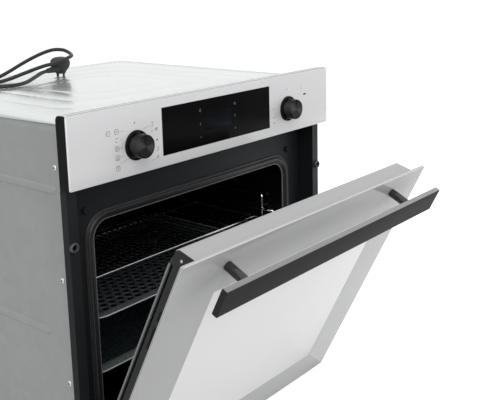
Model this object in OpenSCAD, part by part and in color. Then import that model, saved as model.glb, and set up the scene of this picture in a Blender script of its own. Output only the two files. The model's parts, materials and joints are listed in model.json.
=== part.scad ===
// Built-in wall oven with a drop-down glass door, shown with the door part-way open.
// X runs to the right, Y into the wall and Z up. The origin is the centre of the casing's underside.

/* [Front] */
// Width of the front, across the fascia and the door glass
front_w = 595; // [580:1:620]
// Height of the front, from the underside of the casing to the top of the fascia
front_h = 595; // [588:1:620]
// Height of the control fascia
fascia_h = 101; // [98:1:106]
// Depth of the fascia, from its glass to the back of its frame
fascia_d = 20; // [16:1:26]
// Thickness of the fascia glass
fascia_glass_t = 4; // [3:0.5:6]
// Width of each black end cap of the fascia
end_cap_w = 2.5; // [1.5:0.5:5]
// Width of the display window
display_w = 252; // [200:1:270]
// Height of the display window
display_h = 71.5; // [50:0.5:76]
// Distance between the middles of the two knobs
knob_spacing = 354; // [330:1:400]
// Height of the knob axes above the lower edge of the fascia
knob_lift = 42; // [36:1:55]
// Diameter of a knob at its foot
knob_d = 35.2; // [30:0.1:38]
// Diameter of a knob at its face
knob_face_d = 33.6; // [28:0.1:38]
// Height of a knob
knob_h = 20; // [15:1:30]
// Outer diameter of the ring at the foot of a knob
bezel_d = 43; // [42:1:50]
// Height of the ring at the foot of a knob
bezel_h = 4; // [2:0.5:6]
// Diameter of a knob's spindle
spindle_d = 6; // [5:0.5:8]

/* [Door] */
// How far the door stands open, in degrees
door_open = 26.8; // [0:0.1:90]
// Gap between the fascia and the closed door
door_gap = 4; // [2:1:8]
// Height of the door's lower edge above the underside of the casing
door_lift = 5; // [3:1:8]
// Thickness of the outer door glass
glass_t = 5; // [4:0.5:6]
// Depth of the hinge axis behind the front
hinge_y = 13; // [12:0.5:14]
// Height of the hinge axis
hinge_z = 38; // [36:1:40]
// Distance of each hinge from the side of the door body
hinge_inset = 16; // [13:1:22]
// Diameter of a hinge pin
hinge_pin_d = 6; // [5:0.5:7]
// How far the door glass stands out past the door body at each side
glass_overhang = 29.5; // [27.5:0.5:33]
// Depth of the door body, glass included and inner glass left out
door_body_d = 39.3; // [36:0.1:40]
// Thickness of the inner door glass
inner_glass_t = 4.3; // [3.5:0.1:4.5]
// Distance of the inner door glass from each side of the door body
inner_glass_inset = 8; // [5:1:18]
// Thickness of the middle door glass
middle_glass_t = 4; // [3:0.5:5]
// Wall of the door's metal profiles
profile_t = 2; // [1.5:0.1:2.5]

/* [Handle] */
// Distance of each end of the handle bar from the side of the glass
handle_inset = 28; // [18:1:70]
// Height of the handle bar
handle_h = 41; // [30:1:50]
// Thickness of the handle bar
handle_t = 9; // [6:0.5:12]
// Distance from the door glass to the front of the handle bar
handle_reach = 51; // [40:1:60]
// Distance of the handle bar below the top of the glass
handle_drop = 6; // [0:1:20]
// Distance of each handle post from the end of the handle bar
post_inset = 64.5; // [54.5:0.5:94.5]
// Diameter of a handle post
post_d = 14; // [10:1:20]

/* [Casing] */
// How far the front stands out past the casing at each side
front_overhang = 19.5; // [16.5:0.5:20.5]
// Depth of the casing behind the front frame
casing_d = 525; // [515:1:560]
// Height of the fascia above the casing top
casing_drop = 15; // [10:1:20]
// Distance of the mains cord's gland below the casing top
gland_drop = 60; // [50:1:70]
// Thickness of the casing's sheet metal
sheet = 1.2; // [0.8:0.1:1.5]

/* [Front frame] */
// Depth of the front frame's flange behind the front
flange_y = 16.5; // [15:0.5:18]
// Distance of the flange's edge from the side of the front
flange_inset = 0.5; // [0:0.5:3]
// Width of the folded edge round the flange
fold_w = 6; // [4:0.5:8]
// Depth of the folded edge
fold_d = 4.5; // [3:0.5:6]
// Depth of the recessed inner face behind the front
recess_y = 50; // [49.5:0.5:56]
// Gap between the door body and the recess that takes it, at each side
door_side_gap = 6; // [4:0.5:7]
// Height of the flange's lower end, above the swing of the door glass
flange_lift = 40; // [38:1:48]
// Thickness of the frame's sheet metal
frame_t = 1.5; // [1:0.1:2]
// Diameter of the fixing holes in the flange bushings
bushing_bore_d = 5.2; // [4:0.2:6]
// Outer diameter of a flange bushing
bushing_d = 14; // [11:0.5:15]
// Height of a flange bushing above the flange
bushing_h = 4.5; // [2:0.5:6]
// Distance of the upper flange bushings below the fascia
bushing_drop = 82; // [54:1:114]
// Height of the lower flange bushings above the flange's lower end
bushing_lift = 90; // [40:1:120]
// How far each round door buffer stands outside the opening
buffer_outset = 12; // [0:1:24]
// Height of the door buffers above the opening
buffer_lift = 20; // [18:1:24]

/* [Cavity] */
// Distance of the cavity's opening from each side of the recess
opening_margin = 50; // [48:1:64]
// Distance of the opening's upper edge below the fascia
opening_drop = 68; // [66:1:78]
// Height of the opening's lower edge
opening_z = 76; // [74:1:80]
// Radius of the opening's corners
opening_r = 28; // [20:1:40]
// Width of the gasket round the opening
gasket_w = 16; // [10:1:16]
// Height of the gasket above the inner face
gasket_h = 5.4; // [4:0.1:5.6]
// Distance from the cavity's back wall to the back of the casing
rear_space = 84.5; // [75:0.5:95]
// How far the cavity wall stands back behind the opening's edge, at the sides
cavity_side_step = 8; // [6:0.5:10]
// The same at the top and bottom
cavity_top_step = 6; // [4:0.5:8]
// Wall of the enamelled cavity
cavity_t = 1.5; // [1:0.1:2]
// Thickness of the insulation blanket
blanket_t = 24; // [15:1:25]

/* [Shelves] */
// Height of the lowest shelf level above the cavity floor
first_level = 50; // [40:1:55]
// Distance of the ladder's top below the cavity roof
ladder_drop = 77; // [72:1:100]
// Diameter of a ladder's rails
rail_d = 4.5; // [4:0.5:5]
// Diameter of a ladder's uprights
upright_d = 5; // [4:0.5:6]
// Depth of the cavity that the grid and trays leave free
shelf_clearance = 82; // [82:1:110]
// Distance from the front to the grid's front bar
grid_y = 107; // [100:1:109]
// Diameter of the grid's outer wire
grid_bar_d = 6; // [5:0.5:7]
// Diameter of the grid's thin wires
grid_wire_d = 3; // [2:0.5:4]
// Number of thin wires across the grid
grid_wires = 20; // [10:1:24]
// Distance from the front to the perforated tray
perforated_y = 71.5; // [70:0.5:100]
// Depth of the perforated tray
perforated_depth = 13; // [8:1:20]
// Diameter of the perforated tray's holes
hole_d = 9; // [6:1:12]
// Distance between the perforated tray's holes
hole_pitch = 26; // [20:1:40]
// Distance from the front to the deep tray
deep_y = 82.6; // [78:0.1:100]
// Depth of the deep tray
deep_depth = 38; // [20:1:40]
// Thickness of the trays' sheet metal
tray_t = 1.2; // [0.8:0.1:1.6]
// Width of the rim round each tray
tray_rim = 9; // [8:0.5:12]
// Radius of the trays' corners
tray_r = 22; // [15:1:30]

/* [Heating and fans] */
// Diameter of the heating elements' tube
element_d = 6.6; // [6:0.2:8]
// Distance of the fan cover from each side wall of the cavity
fan_cover_side = 82; // [72:1:92]
// Distance of the fan cover from the cavity's roof and floor
fan_cover_lift = 56; // [41:1:61]
// Depth of the fan cover in front of the cavity's back wall
fan_cover_d = 23.5; // [22:0.5:24]
// Diameter of the convection fan
fan_d = 144; // [120:1:150]
// Diameter of the ring element
ring_d = 184; // [176:1:200]
// Diameter of the fan shaft
shaft_d = 8; // [6:0.5:10]
// Diameter of the fan motor
fan_motor_d = 80; // [60:1:86]
// Diameter of the cooling blower's housing
blower_d = 156; // [150:1:180]
// Height of the cooling blower's housing
blower_h = 45; // [42:1:50]
// Diameter of the cooling impeller
blower_wheel_d = 120; // [100:1:130]
// Diameter of the cooling blower's motor
blower_motor_d = 64; // [50:1:70]
// Height of the cooling blower's motor
blower_motor_h = 30; // [20:1:40]
// Diameter of the lamp glass
lamp_d = 46; // [40:1:50]
// How far the temperature probe reaches into the cavity
probe_reach = 70; // [50:1:90]

/* [Hidden] */
$fn = 48;

// Clearances: running for shafts and pins, touching for pieces of one body, moving for separate bodies
running = 0.05;
touching = 0.1;
moving = 0.3;
cut = 1;

// Widths
door_body_w = front_w - 2 * glass_overhang;
inner_glass_w = door_body_w - 2 * inner_glass_inset;
hinge_spacing = door_body_w - 2 * hinge_inset;
handle_w = front_w - 2 * handle_inset;
post_spacing = handle_w - 2 * post_inset;
casing_w = front_w - 2 * front_overhang;
flange_w = front_w - 2 * flange_inset;
recess_w = door_body_w + 2 * door_side_gap;
opening_w = recess_w - 2 * opening_margin;
buffer_spacing = opening_w + 2 * buffer_outset;

// Heights
fascia_z = front_h - fascia_h;
opening_h = fascia_z - opening_drop - opening_z;
buffer_z = fascia_z - opening_drop + buffer_lift;
bushing_upper_z = fascia_z - bushing_drop;
bushing_lower_z = flange_lift + bushing_lift;
glass_top = fascia_z - door_gap;
casing_h = front_h - casing_drop;
cavity_z = opening_z - cavity_top_step;
cavity_top = opening_z + opening_h + cavity_top_step;
cavity_mid_z = (cavity_z + cavity_top) / 2;
opening_mid_z = opening_z + opening_h / 2;
blanket_top = cavity_top + cavity_t + moving + blanket_t;
deck_z = blanket_top + touching;
knob_z = fascia_z + knob_lift;
display_z = fascia_z + fascia_h / 2 + 1.25;

// Depths, measured from the front of the fascia glass
casing_y = flange_y + fold_d;
casing_back = casing_y + casing_d;
cavity_y = recess_y + frame_t;
cavity_back = casing_back - rear_space;
cavity_d = cavity_back - cavity_y;
shelf_d = cavity_d - shelf_clearance;
blanket_back = cavity_back + cavity_t + moving + blanket_t;
front_y = -(casing_y + casing_back) / 2;

// Half widths
cavity_x = opening_w / 2 + cavity_side_step;
fan_cover_w = 2 * (cavity_x - fan_cover_side);
fan_cover_h = cavity_top - cavity_z - 2 * fan_cover_lift;
upright_x = cavity_x - 7.5;
rail_x = upright_x - (upright_d + rail_d) / 2 + 0.25;
shelf_x = upright_x - upright_d / 2 - 1;
recess_x = recess_w / 2;
casing_x = casing_w / 2;
return_x = casing_x - sheet - frame_t;
bushing_x = (recess_x + flange_w / 2 - fold_w) / 2 + 2;
hinge_x = hinge_spacing / 2;
hinge_arm_t = 8;
cheek_gap = 12;
channel_w = cheek_gap + 2 * profile_t;
hinge_eye_r = hinge_y - glass_t - 1.8;

// Shelf seats
levels = 5;
level_pitch = (cavity_top - ladder_drop - cavity_z - first_level) / levels;
function level(n) = cavity_z + first_level + n * level_pitch;
function seat(n) = level(n) + rail_d / 2 + moving;
grid_level = 4;
perforated_level = 3;
deep_level = 1;

// Mains cord: a 7 mm lead, in three stretches from the gland to the plug
cord_d = 7;
cord_sides = 10;
gland_x = -155;
gland_z = casing_h - gland_drop;
gland_len = 25;
coil_at = [-200, 156, 587.3];
coil_mean_r = 38;
rear_route = [
    [-155, 287.5, 520], [-155, 296, 520.4], [-155, 306, 524], [-155, 315, 531], [-155, 321, 542],
    [-155, 323, 556], [-155, 320, 572], [-155, 311, 586], [-155, 297, 594], [-155, 281, 597],
    [-155, 264, 596], [-155, 248, 592], [-155, 233, 587.5], [-155, 217, 584.4], [-155, 200, 583.8],
    [-155, 180, 583.8], [-155, 156, 583.8]
];
front_route = [
    [-200, 199, 590.8], [-180, 199.5, 590.9], [-155, 200, 591.2], [-130, 201, 588], [-105, 202, 584.4],
    [-80, 203, 586], [-55, 202, 594], [-28, 200, 605.5], [0, 199, 616], [28, 199, 624], [49, 195, 628],
    [62, 184, 627], [65, 171, 623], [61, 157, 619.5], [52, 145, 618], [38, 138, 616],
    [22, 136, 612.5], [5, 137.5, 608.5], [-14, 141, 606], [-36, 145, 601], [-60, 150, 594.5], [-82, 156, 588],
    [-101, 160, 584.6], [-120, 158.5, 583.8], [-136, 149, 583.8], [-143, 132, 583.8], [-137, 115, 583.8],
    [-121, 104, 583.8], [-100, 102.5, 583.9], [-76, 110, 585.6], [-52, 122, 589.6], [-28, 134.2, 594],
    [-8.6, 142.7, 595.5]
];
plug_at = [36, 160.5];
plug_turn = 21.8;
plug_pin_turn = 17;
plug_d = 38;
plug_face_z = casing_h + 9;
plug_top_z = plug_face_z + 28;
plug_pin_d = 4.8;
plug_pin_gap = 19;

// ---------- helpers ----------

module at_front() translate([0, front_y, 0]) children();

module on_door() at_front()
    translate([0, hinge_y, hinge_z]) rotate([door_open, 0, 0]) translate([0, -hinge_y, -hinge_z]) children();

module both_sides() {
    children();
    mirror([1, 0, 0]) children();
}

// A box between two opposite corners
module box(low, high) translate(low) cube(high - low);

// A box centred on X
module wide_box(w, low_y, high_y, low_z, high_z) box([-w / 2, low_y, low_z], [w / 2, high_y, high_z]);

// A drawing of X and Z, thickened along Y
module in_xz(low_y, high_y)
    translate([0, high_y, 0]) rotate([90, 0, 0]) linear_extrude(high_y - low_y) children();

// A drawing of Y and Z, thickened along X
module in_yz(low_x, high_x)
    translate([low_x, 0, 0]) rotate([90, 0, 90]) linear_extrude(high_x - low_x) children();

module rod_x(low_x, high_x, y, z, r) translate([low_x, y, z]) rotate([0, 90, 0]) cylinder(r = r, h = high_x - low_x);

module rod_y(x, low_y, high_y, z, r) translate([x, high_y, z]) rotate([90, 0, 0]) cylinder(r = r, h = high_y - low_y);

module rod_z(x, y, low_z, high_z, r) translate([x, y, low_z]) cylinder(r = r, h = high_z - low_z);

// A rectangle with round corners, centred on the origin; a slot when the corners take its whole width
module rounded(w, h, r) {
    if (w > 2 * r) square([w - 2 * r, h], center = true);
    if (h > 2 * r) square([w, h - 2 * r], center = true);
    for (x = [-1, 1], y = [-1, 1]) translate([x * (w / 2 - r), y * (h / 2 - r)]) circle(r);
}

// A round-cornered ring of the given width round an opening
module rounded_ring(w, h, r, ring) difference() {
    rounded(w + 2 * ring, h + 2 * ring, r + ring);
    rounded(w, h, r);
}

// A heating tube bent to and fro: legs along Y at each of xs, joined by half rings
module hairpins(xs, low_y, high_y, back_y, z, r) {
    half = (xs[1] - xs[0]) / 2;
    last = len(xs) - 1;
    for (i = [0 : last])
        rod_y(xs[i], low_y + half, (i == 0 || i == last) ? back_y : high_y - half, z, r);
    for (i = [0 : last - 1])
        translate([xs[i] + half, i % 2 == 0 ? low_y + half : high_y - half, z])
            rotate([0, 0, i % 2 == 0 ? 180 : 0])
                rotate_extrude(angle = 180) translate([half, 0]) circle(r);
}

// Points along a smooth curve through the route's points, three steps to each stretch
function smooth(a, b, c, d, t) =
    0.5 * (2 * b + (c - a) * t + (2 * a - 5 * b + 4 * c - d) * t * t + (3 * b - a - 3 * c + d) * t * t * t);
function route_points(p, steps) = [
    for (i = [0 : len(p) - 2], s = [0 : steps - 1])
        smooth(p[max(i - 1, 0)], p[i], p[i + 1], p[min(i + 2, len(p) - 1)], s / steps),
    p[len(p) - 1]
];
function unit(v) = v / norm(v);
function tangent(p, i) = unit(p[min(i + 1, len(p) - 1)] - p[max(i - 1, 0)]);
// Carries a side direction from ring to ring without twist
function sides_along(p, i = 0, side = [0, 0, 1]) =
    let (t = tangent(p, i),
         seed = i == 0 && abs(t.z) > 0.9 ? [1, 0, 0] : side,
         u = unit(seed - (seed * t) * t))
    i == len(p) - 1 ? [u] : concat([u], sides_along(p, i + 1, u));

// A round tube swept along a list of points
module sweep(p, r, n) {
    us = sides_along(p);
    rings = [for (i = [0 : len(p) - 1]) let (u = us[i], v = cross(tangent(p, i), u))
        for (k = [0 : n - 1]) p[i] + r * (cos(360 * k / n) * u + sin(360 * k / n) * v)];
    walls = [for (i = [0 : len(p) - 2], k = [0 : n - 1], half = [0, 1])
        let (a = i * n + k, b = i * n + (k + 1) % n)
        half == 0 ? [a, a + n, b] : [b, a + n, b + n]];
    first = [for (k = [0 : n - 1]) k];
    last = [for (k = [n - 1 : -1 : 0]) (len(p) - 1) * n + k];
    polyhedron(rings, concat(walls, [first], [last]));
}

// ---------- casing ----------

side_screws = [for (z = [0.89, 0.61, 0.341]) [casing_y + 33.5, z * casing_h]];
rear_screws = [for (z = [0.15, 0.5, 0.85]) [casing_back - 12, z * casing_h]];
screw_spots = concat(side_screws, rear_screws);

module base_plate() color("silver") at_front() difference() {
    union() {
        wide_box(casing_w - 2 * sheet, cavity_y, casing_back - sheet, 0, sheet);
        both_sides() box([casing_x - 2 * sheet, cavity_y + 20, 0], [casing_x - sheet, casing_back - sheet, 15]);
    }
    for (i = [-4 : 4]) translate([i * 40, casing_back - 90, -cut]) linear_extrude(sheet + 2 * cut) rounded(8, 70, 4);
}

module side_panel() difference() {
    box([casing_x - sheet, casing_y, 0], [casing_x, casing_back, casing_h - sheet]);
    box([casing_x - sheet - cut, casing_y - cut, -cut], [casing_x + cut, recess_y, flange_lift]);
    for (s = screw_spots) rod_x(casing_x - sheet - cut, casing_x + cut, s[0], s[1], 2.1);
}

module side_panel_left() color("silver") at_front() mirror([1, 0, 0]) side_panel();
module side_panel_right() color("silver") at_front() side_panel();

// Pressed rings that stiffen the top: the smallest and the step to the next
top_rings = 5;
ring_step = [(casing_w - 276) / 4, (casing_d - 269) / 4];
module top_cover() color([0.87, 0.9, 0.88]) at_front() difference() {
    wide_box(casing_w, casing_y, casing_back, casing_h - sheet, casing_h);
    for (i = [0 : top_rings - 1]) translate([0, (casing_y + casing_back) / 2, casing_h - sheet / 3])
        linear_extrude(sheet) rounded_ring(120 + i * ring_step.x, 90 + i * ring_step.y, 40 + i * 30, 3);
}

module back_panel() color("silver") at_front() difference() {
    wide_box(casing_w - 2 * sheet, casing_back - sheet, casing_back, sheet, casing_h - sheet);
    in_xz(casing_back - sheet - cut, casing_back + cut) {
        for (i = [-5 : 5], row = [0, 1]) translate([i * 24 + 60, 60 + row * 90]) rounded(6, 66, 3);
        for (i = [-5 : 5]) translate([i * 24 + 60, casing_h - 60]) rounded(6, 50, 3);
        translate([gland_x, gland_z]) circle(7 + touching);
    }
}

// Plate over the insulation that carries the cooling blower
module deck_plate() color("silver") at_front() difference() {
    wide_box(2 * (return_x - touching), cavity_y, casing_back - sheet, deck_z, deck_z + sheet);
    rod_z(0, blower_y, deck_z - cut, deck_z + sheet + cut, blower_wheel_d / 4);
}

module casing_screws() color("white") at_front() both_sides() for (s = screw_spots) {
    rod_x(casing_x - sheet, casing_x + touching, s[0], s[1], 1.9);
    rod_x(casing_x, casing_x + 2.2, s[0], s[1], 4);
}

// ---------- front frame ----------

module frame_section() {
    lip = flange_w / 2;
    polygon([
        [lip, flange_y + fold_d], [lip - fold_w, flange_y], [recess_x, flange_y],
        [recess_x, recess_y + frame_t], [recess_x + frame_t, recess_y + frame_t],
        [recess_x + frame_t, flange_y + frame_t], [lip - fold_w - 0.4, flange_y + frame_t],
        [lip - frame_t, flange_y + fold_d]
    ]);
}

module front_frame() color([0.12, 0.13, 0.13]) at_front() {
    difference() {
        wide_box(2 * (return_x + frame_t), recess_y, recess_y + frame_t, sheet, casing_h - sheet);
        in_xz(recess_y - cut, recess_y + frame_t + cut) {
            translate([0, opening_mid_z]) rounded(opening_w, opening_h, opening_r);
            for (x = [-1, 1]) {
                translate([x * buffer_spacing / 2, buffer_z]) circle(4 + touching);
                translate([x * knob_spacing / 2, knob_z]) circle(9);
                translate([x * hinge_x, hinge_z - 1]) square([hinge_arm_t + 4, 2 * hinge_eye_r + 6], center = true);
            }
            translate([0, fascia_z - 5.5]) square([2 * duct_mouth - 20, 6], center = true);
        }
    }
    both_sides() {
        difference() {
            translate([0, 0, flange_lift]) linear_extrude(fascia_z - 0.5 - flange_lift) frame_section();
            for (z = [bushing_upper_z, bushing_lower_z])
                rod_y(bushing_x, flange_y - cut, flange_y + frame_t + cut, z, 4 + touching);
        }
        box([recess_x, fascia_d, fascia_z - cut], [recess_x + frame_t, recess_y + frame_t, casing_h - sheet]);
        box([return_x, recess_y, flange_lift], [return_x + frame_t, recess_y + 16, casing_h - sheet]);
    }
}

module frame_bushings() color("gray") at_front() both_sides() for (z = [bushing_upper_z, bushing_lower_z])
    difference() {
        union() {
            rod_y(bushing_x, flange_y - bushing_h, flange_y, z, bushing_d / 2);
            rod_y(bushing_x, flange_y - cut, flange_y + frame_t + 1, z, 4);
        }
        rod_y(bushing_x, flange_y - bushing_h - cut, flange_y + frame_t + 2, z, bushing_bore_d / 2);
    }

module door_buffers() color([0.15, 0.15, 0.15]) at_front() both_sides() {
    rod_y(buffer_spacing / 2, recess_y - gasket_h + 0.4, recess_y, buffer_z, 5.5);
    rod_y(buffer_spacing / 2, recess_y - cut, recess_y + frame_t, buffer_z, 4);
}

module door_gasket() color("dimgray") at_front() {
    in_xz(recess_y - 0.55 * gasket_h, recess_y)
        translate([0, opening_mid_z]) rounded_ring(opening_w, opening_h, opening_r, gasket_w);
    in_xz(recess_y - gasket_h, recess_y)
        translate([0, opening_mid_z]) rounded_ring(opening_w + 6, opening_h + 6, opening_r + 3, gasket_w - 6);
}

// ---------- cavity ----------

grill_xs = [for (i = [-5 : 2 : 5]) i / 5 * (cavity_x - 82)];
grill_z = cavity_top - 12;
grill_y = cavity_y + 60;
bottom_xs = [for (i = [-3 : 2 : 3]) i / 3 * (cavity_x - 112)];
bottom_y = cavity_y + 50;
lamp_at = [cavity_x - 60, cavity_top - 42];
probe_at = [-(cavity_x - 50), cavity_top - 34];
ring_leads = 18;
ring_lead_r = element_d / 2 + 0.4;
leg_r = 4;
leg_at = fan_motor_d / 2 - 10;

module cavity() color([0.06, 0.07, 0.08]) at_front() difference() {
    union() {
        wide_box(2 * (cavity_x + cavity_t), cavity_y, cavity_back + cavity_t, cavity_z - cavity_t, cavity_top + cavity_t);
        wide_box(2 * (cavity_x + 12), cavity_y, cavity_y + cavity_t, cavity_z - 8, cavity_top + 12);
    }
    wide_box(2 * cavity_x, cavity_y - cut, cavity_back, cavity_z, cavity_top);
    rod_y(0, cavity_back - cut, cavity_back + cavity_t + cut, cavity_mid_z, shaft_d / 2 + 3);
    rod_y(lamp_at[0], cavity_back - cut, cavity_back + cavity_t + cut, lamp_at[1], lamp_d / 2 - 6);
    rod_y(probe_at[0], cavity_back - cut, cavity_back + cavity_t + cut, probe_at[1], 2 + touching);
    for (x = [grill_xs[0], grill_xs[len(grill_xs) - 1]])
        rod_y(x, cavity_back - cut, cavity_back + cavity_t + cut, grill_z, element_d / 2 + touching);
    for (x = [-ring_leads, ring_leads])
        rod_y(x, cavity_back - cut, cavity_back + cavity_t + cut, ring_lead_z(), ring_lead_r + touching);
}

module insulation() color("khaki") at_front() difference() {
    inner = cavity_x + cavity_t + moving;
    wide_box(2 * (inner + blanket_t), cavity_y + cavity_t + 2, blanket_back, cavity_z, blanket_top);
    wide_box(2 * inner, cavity_y - cut, cavity_back + cavity_t + moving, cavity_z - cut, cavity_top + cavity_t + moving);
    rod_y(0, cavity_back - cut, blanket_back + cut, cavity_mid_z, fan_motor_d / 2 + 6);
    rod_y(lamp_at[0], cavity_back - cut, blanket_back + cut, lamp_at[1], lamp_d / 2 + 5);
    rod_y(probe_at[0], cavity_back - cut, blanket_back + cut, probe_at[1], 6);
    for (x = [grill_xs[0], grill_xs[len(grill_xs) - 1]])
        rod_y(x, cavity_back - cut, blanket_back + cut, grill_z, element_d);
    for (x = [-ring_leads, ring_leads])
        rod_y(x, cavity_back - cut, blanket_back + cut, ring_lead_z(), ring_lead_r + 2);
}

ladder_uprights = [48, cavity_d - 62];
module ladder() {
    for (y = ladder_uprights) {
        rod_z(upright_x, cavity_y + y, level(0) - 12, level(levels), upright_d / 2);
        for (z = [level(0) + level_pitch / 2, level(levels) - level_pitch / 2])
            rod_x(upright_x, cavity_x, cavity_y + y, z, upright_d / 2);
    }
    for (n = [0 : levels - 1]) rod_y(rail_x, cavity_y + 12, cavity_back - fan_cover_d - 6, level(n), rail_d / 2);
    rod_y(upright_x, cavity_y + ladder_uprights[0], cavity_y + ladder_uprights[1], level(levels), upright_d / 2 - 0.1);
    for (y = ladder_uprights) translate([upright_x, cavity_y + y, level(levels)]) sphere(upright_d / 2);
}

module ladder_left() color("gainsboro") at_front() mirror([1, 0, 0]) ladder();
module ladder_right() color("gainsboro") at_front() ladder();

module wire_grid() color("gainsboro") at_front() {
    z = seat(grid_level) + grid_bar_d / 2;
    r = grid_bar_d / 2;
    side = shelf_x - 1 - r;
    back = grid_y + shelf_d - grid_bar_d;
    for (y = [grid_y, back]) rod_x(-side, side, y, z, r);
    for (x = [-side, side]) {
        rod_y(x, grid_y, back, z, r);
        for (y = [grid_y, back]) translate([x, y, z]) sphere(r);
    }
    for (i = [1 : grid_wires]) rod_y(-side + 2 * side * i / (grid_wires + 1), grid_y, back, z, grid_wire_d / 2);
    rod_x(-side, side, (grid_y + back) / 2, z - r + 0.6, r * 0.8);
}

// A tray with a flat rim, from its front edge at y, hanging by the rim at the given seat height
module tray(y, z, depth) {
    w = 2 * shelf_x;
    well = w - 2 * tray_rim;
    well_d = shelf_d - 2 * tray_rim;
    translate([0, y + shelf_d / 2, 0]) difference() {
        union() {
            translate([0, 0, z]) linear_extrude(tray_t) rounded(w, shelf_d, tray_r);
            translate([0, 0, z + tray_t - depth]) linear_extrude(depth) rounded(well, well_d, tray_r - tray_rim / 2);
        }
        translate([0, 0, z + 2 * tray_t - depth]) linear_extrude(depth + cut)
            rounded(well - 2 * tray_t, well_d - 2 * tray_t, tray_r - tray_rim / 2 - tray_t);
    }
}

module perforated_tray() color([0.2, 0.21, 0.22]) at_front() {
    floor_z = seat(perforated_level) + tray_t - perforated_depth;
    columns = floor((shelf_x - tray_rim - 20) / hole_pitch);
    rows = floor((shelf_d / 2 - tray_rim - 20) / hole_pitch);
    difference() {
        tray(perforated_y, seat(perforated_level), perforated_depth);
        for (i = [-columns : columns], j = [-rows : rows])
            rod_z(i * hole_pitch, perforated_y + shelf_d / 2 + j * hole_pitch, floor_z - cut, floor_z + tray_t + cut, hole_d / 2);
    }
}

module deep_tray() color([0.22, 0.25, 0.25]) at_front() tray(deep_y, seat(deep_level), deep_depth);

// ---------- heating and fans ----------

fan_face_y = cavity_back - fan_cover_d;
ring_y = cavity_back - fan_cover_d / 2 + 1;
fan_motor_y = blanket_back + 1;
function ring_lead_z() = cavity_mid_z - sqrt(pow(ring_d / 2, 2) - pow(ring_leads, 2));

module grill_element() color("dimgray") at_front()
    hairpins(grill_xs, grill_y, fan_face_y - 8, blanket_back + 6, grill_z, element_d / 2);

module ring_element() color("dimgray") at_front() {
    translate([0, ring_y, cavity_mid_z]) rotate([90, 0, 0]) rotate_extrude() translate([ring_d / 2, 0]) circle(element_d / 2);
    for (x = [-ring_leads, ring_leads]) rod_y(x, ring_y, cavity_back + cavity_t + 5, ring_lead_z(), ring_lead_r);
}

module bottom_element() color("dimgray") at_front()
    hairpins(bottom_xs, bottom_y, cavity_back - 20, cavity_back + 20,
        cavity_z - cavity_t - element_d / 2 - touching, element_d / 2);

module fan_cover() color([0.08, 0.09, 0.1]) at_front() difference() {
    in_xz(fan_face_y, cavity_back) translate([0, cavity_mid_z]) rounded(fan_cover_w, fan_cover_h, 20);
    in_xz(fan_face_y + sheet, cavity_back + cut)
        translate([0, cavity_mid_z]) rounded(fan_cover_w - 2 * sheet, fan_cover_h - 2 * sheet, 20 - sheet);
    in_xz(fan_face_y - cut, fan_face_y + sheet + cut) translate([0, cavity_mid_z]) {
        circle(4);
        for (ring = [1 : 4], i = [0 : 6 * ring - 1]) rotate(i * 60 / ring) translate([ring * 14, 0]) circle(4);
        for (x = [-1, 1], i = [-3 : 3]) translate([x * (fan_cover_w / 2 - 18), i * 26]) rounded(10, 16, 4);
    }
    for (x = [-1, 1]) box([x * fan_cover_w / 2 - 5, fan_face_y + 6, cavity_mid_z - fan_cover_h / 4],
        [x * fan_cover_w / 2 + 5, cavity_back - 6, cavity_mid_z + fan_cover_h / 4]);
}

module fan_impeller() color("silver") at_front() {
    disc_y = cavity_back - 5;
    rod_y(0, disc_y - 1.2, disc_y, cavity_mid_z, fan_d / 2);
    rod_y(0, disc_y - 11, disc_y, cavity_mid_z, 11);
    rod_y(0, disc_y - 12, fan_motor_y + 30, cavity_mid_z, shaft_d / 2);
    for (i = [0 : 11]) translate([0, 0, cavity_mid_z]) rotate([0, i * 30, 0])
        box([fan_d / 2 - 32, disc_y - 12, -0.6], [fan_d / 2 - 2, disc_y, 0.6]);
}

module fan_motor() color("gray") at_front() difference() {
    union() {
        rod_y(0, fan_motor_y, fan_motor_y + 34, cavity_mid_z, fan_motor_d / 2);
        for (a = [30, 150, 270])
            rod_y(leg_at * cos(a), cavity_back + cavity_t, fan_motor_y + 4, cavity_mid_z + leg_at * sin(a), leg_r);
    }
    rod_y(0, fan_motor_y - cut, fan_motor_y + 35, cavity_mid_z, shaft_d / 2 + running);
}

module lamp_housing() color("silver") at_front() difference() {
    union() {
        rod_y(lamp_at[0], cavity_back + cavity_t, cavity_back + cavity_t + 2, lamp_at[1], lamp_d / 2 + 4);
        rod_y(lamp_at[0], cavity_back + cavity_t, blanket_back + 10, lamp_at[1], lamp_d / 2 - 2);
    }
    rod_y(lamp_at[0], cavity_back, blanket_back + 8, lamp_at[1], lamp_d / 2 - 4);
}

module lamp_glass() color("lightyellow") at_front() difference() {
    union() {
        rod_y(lamp_at[0], cavity_back - 8, cavity_back, lamp_at[1], lamp_d / 2);
        translate([lamp_at[0], cavity_back - 8, lamp_at[1]]) rotate([90, 0, 0])
            cylinder(r1 = lamp_d / 2, r2 = lamp_d / 2 - 8, h = 6);
    }
    rod_y(lamp_at[0], cavity_back - 11, cavity_back + cut, lamp_at[1], lamp_d / 2 - 9);
}

module temperature_probe() color("silver") at_front() {
    rod_y(probe_at[0], cavity_back - probe_reach, blanket_back + 4, probe_at[1], 2);
    rod_y(probe_at[0], cavity_back - 4, cavity_back, probe_at[1], 5);
}

blower_y = casing_back - 216;
blower_z = deck_z + sheet;
blower_top = blower_z + blower_h;
duct_z = fascia_z - 1.5;
duct_mouth = casing_x - 88;
duct_throat = blower_wheel_d / 2;

module duct(grow) polygon([
    [-duct_throat - grow, blower_y], [duct_throat + grow, blower_y],
    [duct_mouth + grow, cavity_y + touching - (grow > 0 ? 0 : cut)],
    [-duct_mouth - grow, cavity_y + touching - (grow > 0 ? 0 : cut)]
]);

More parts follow.
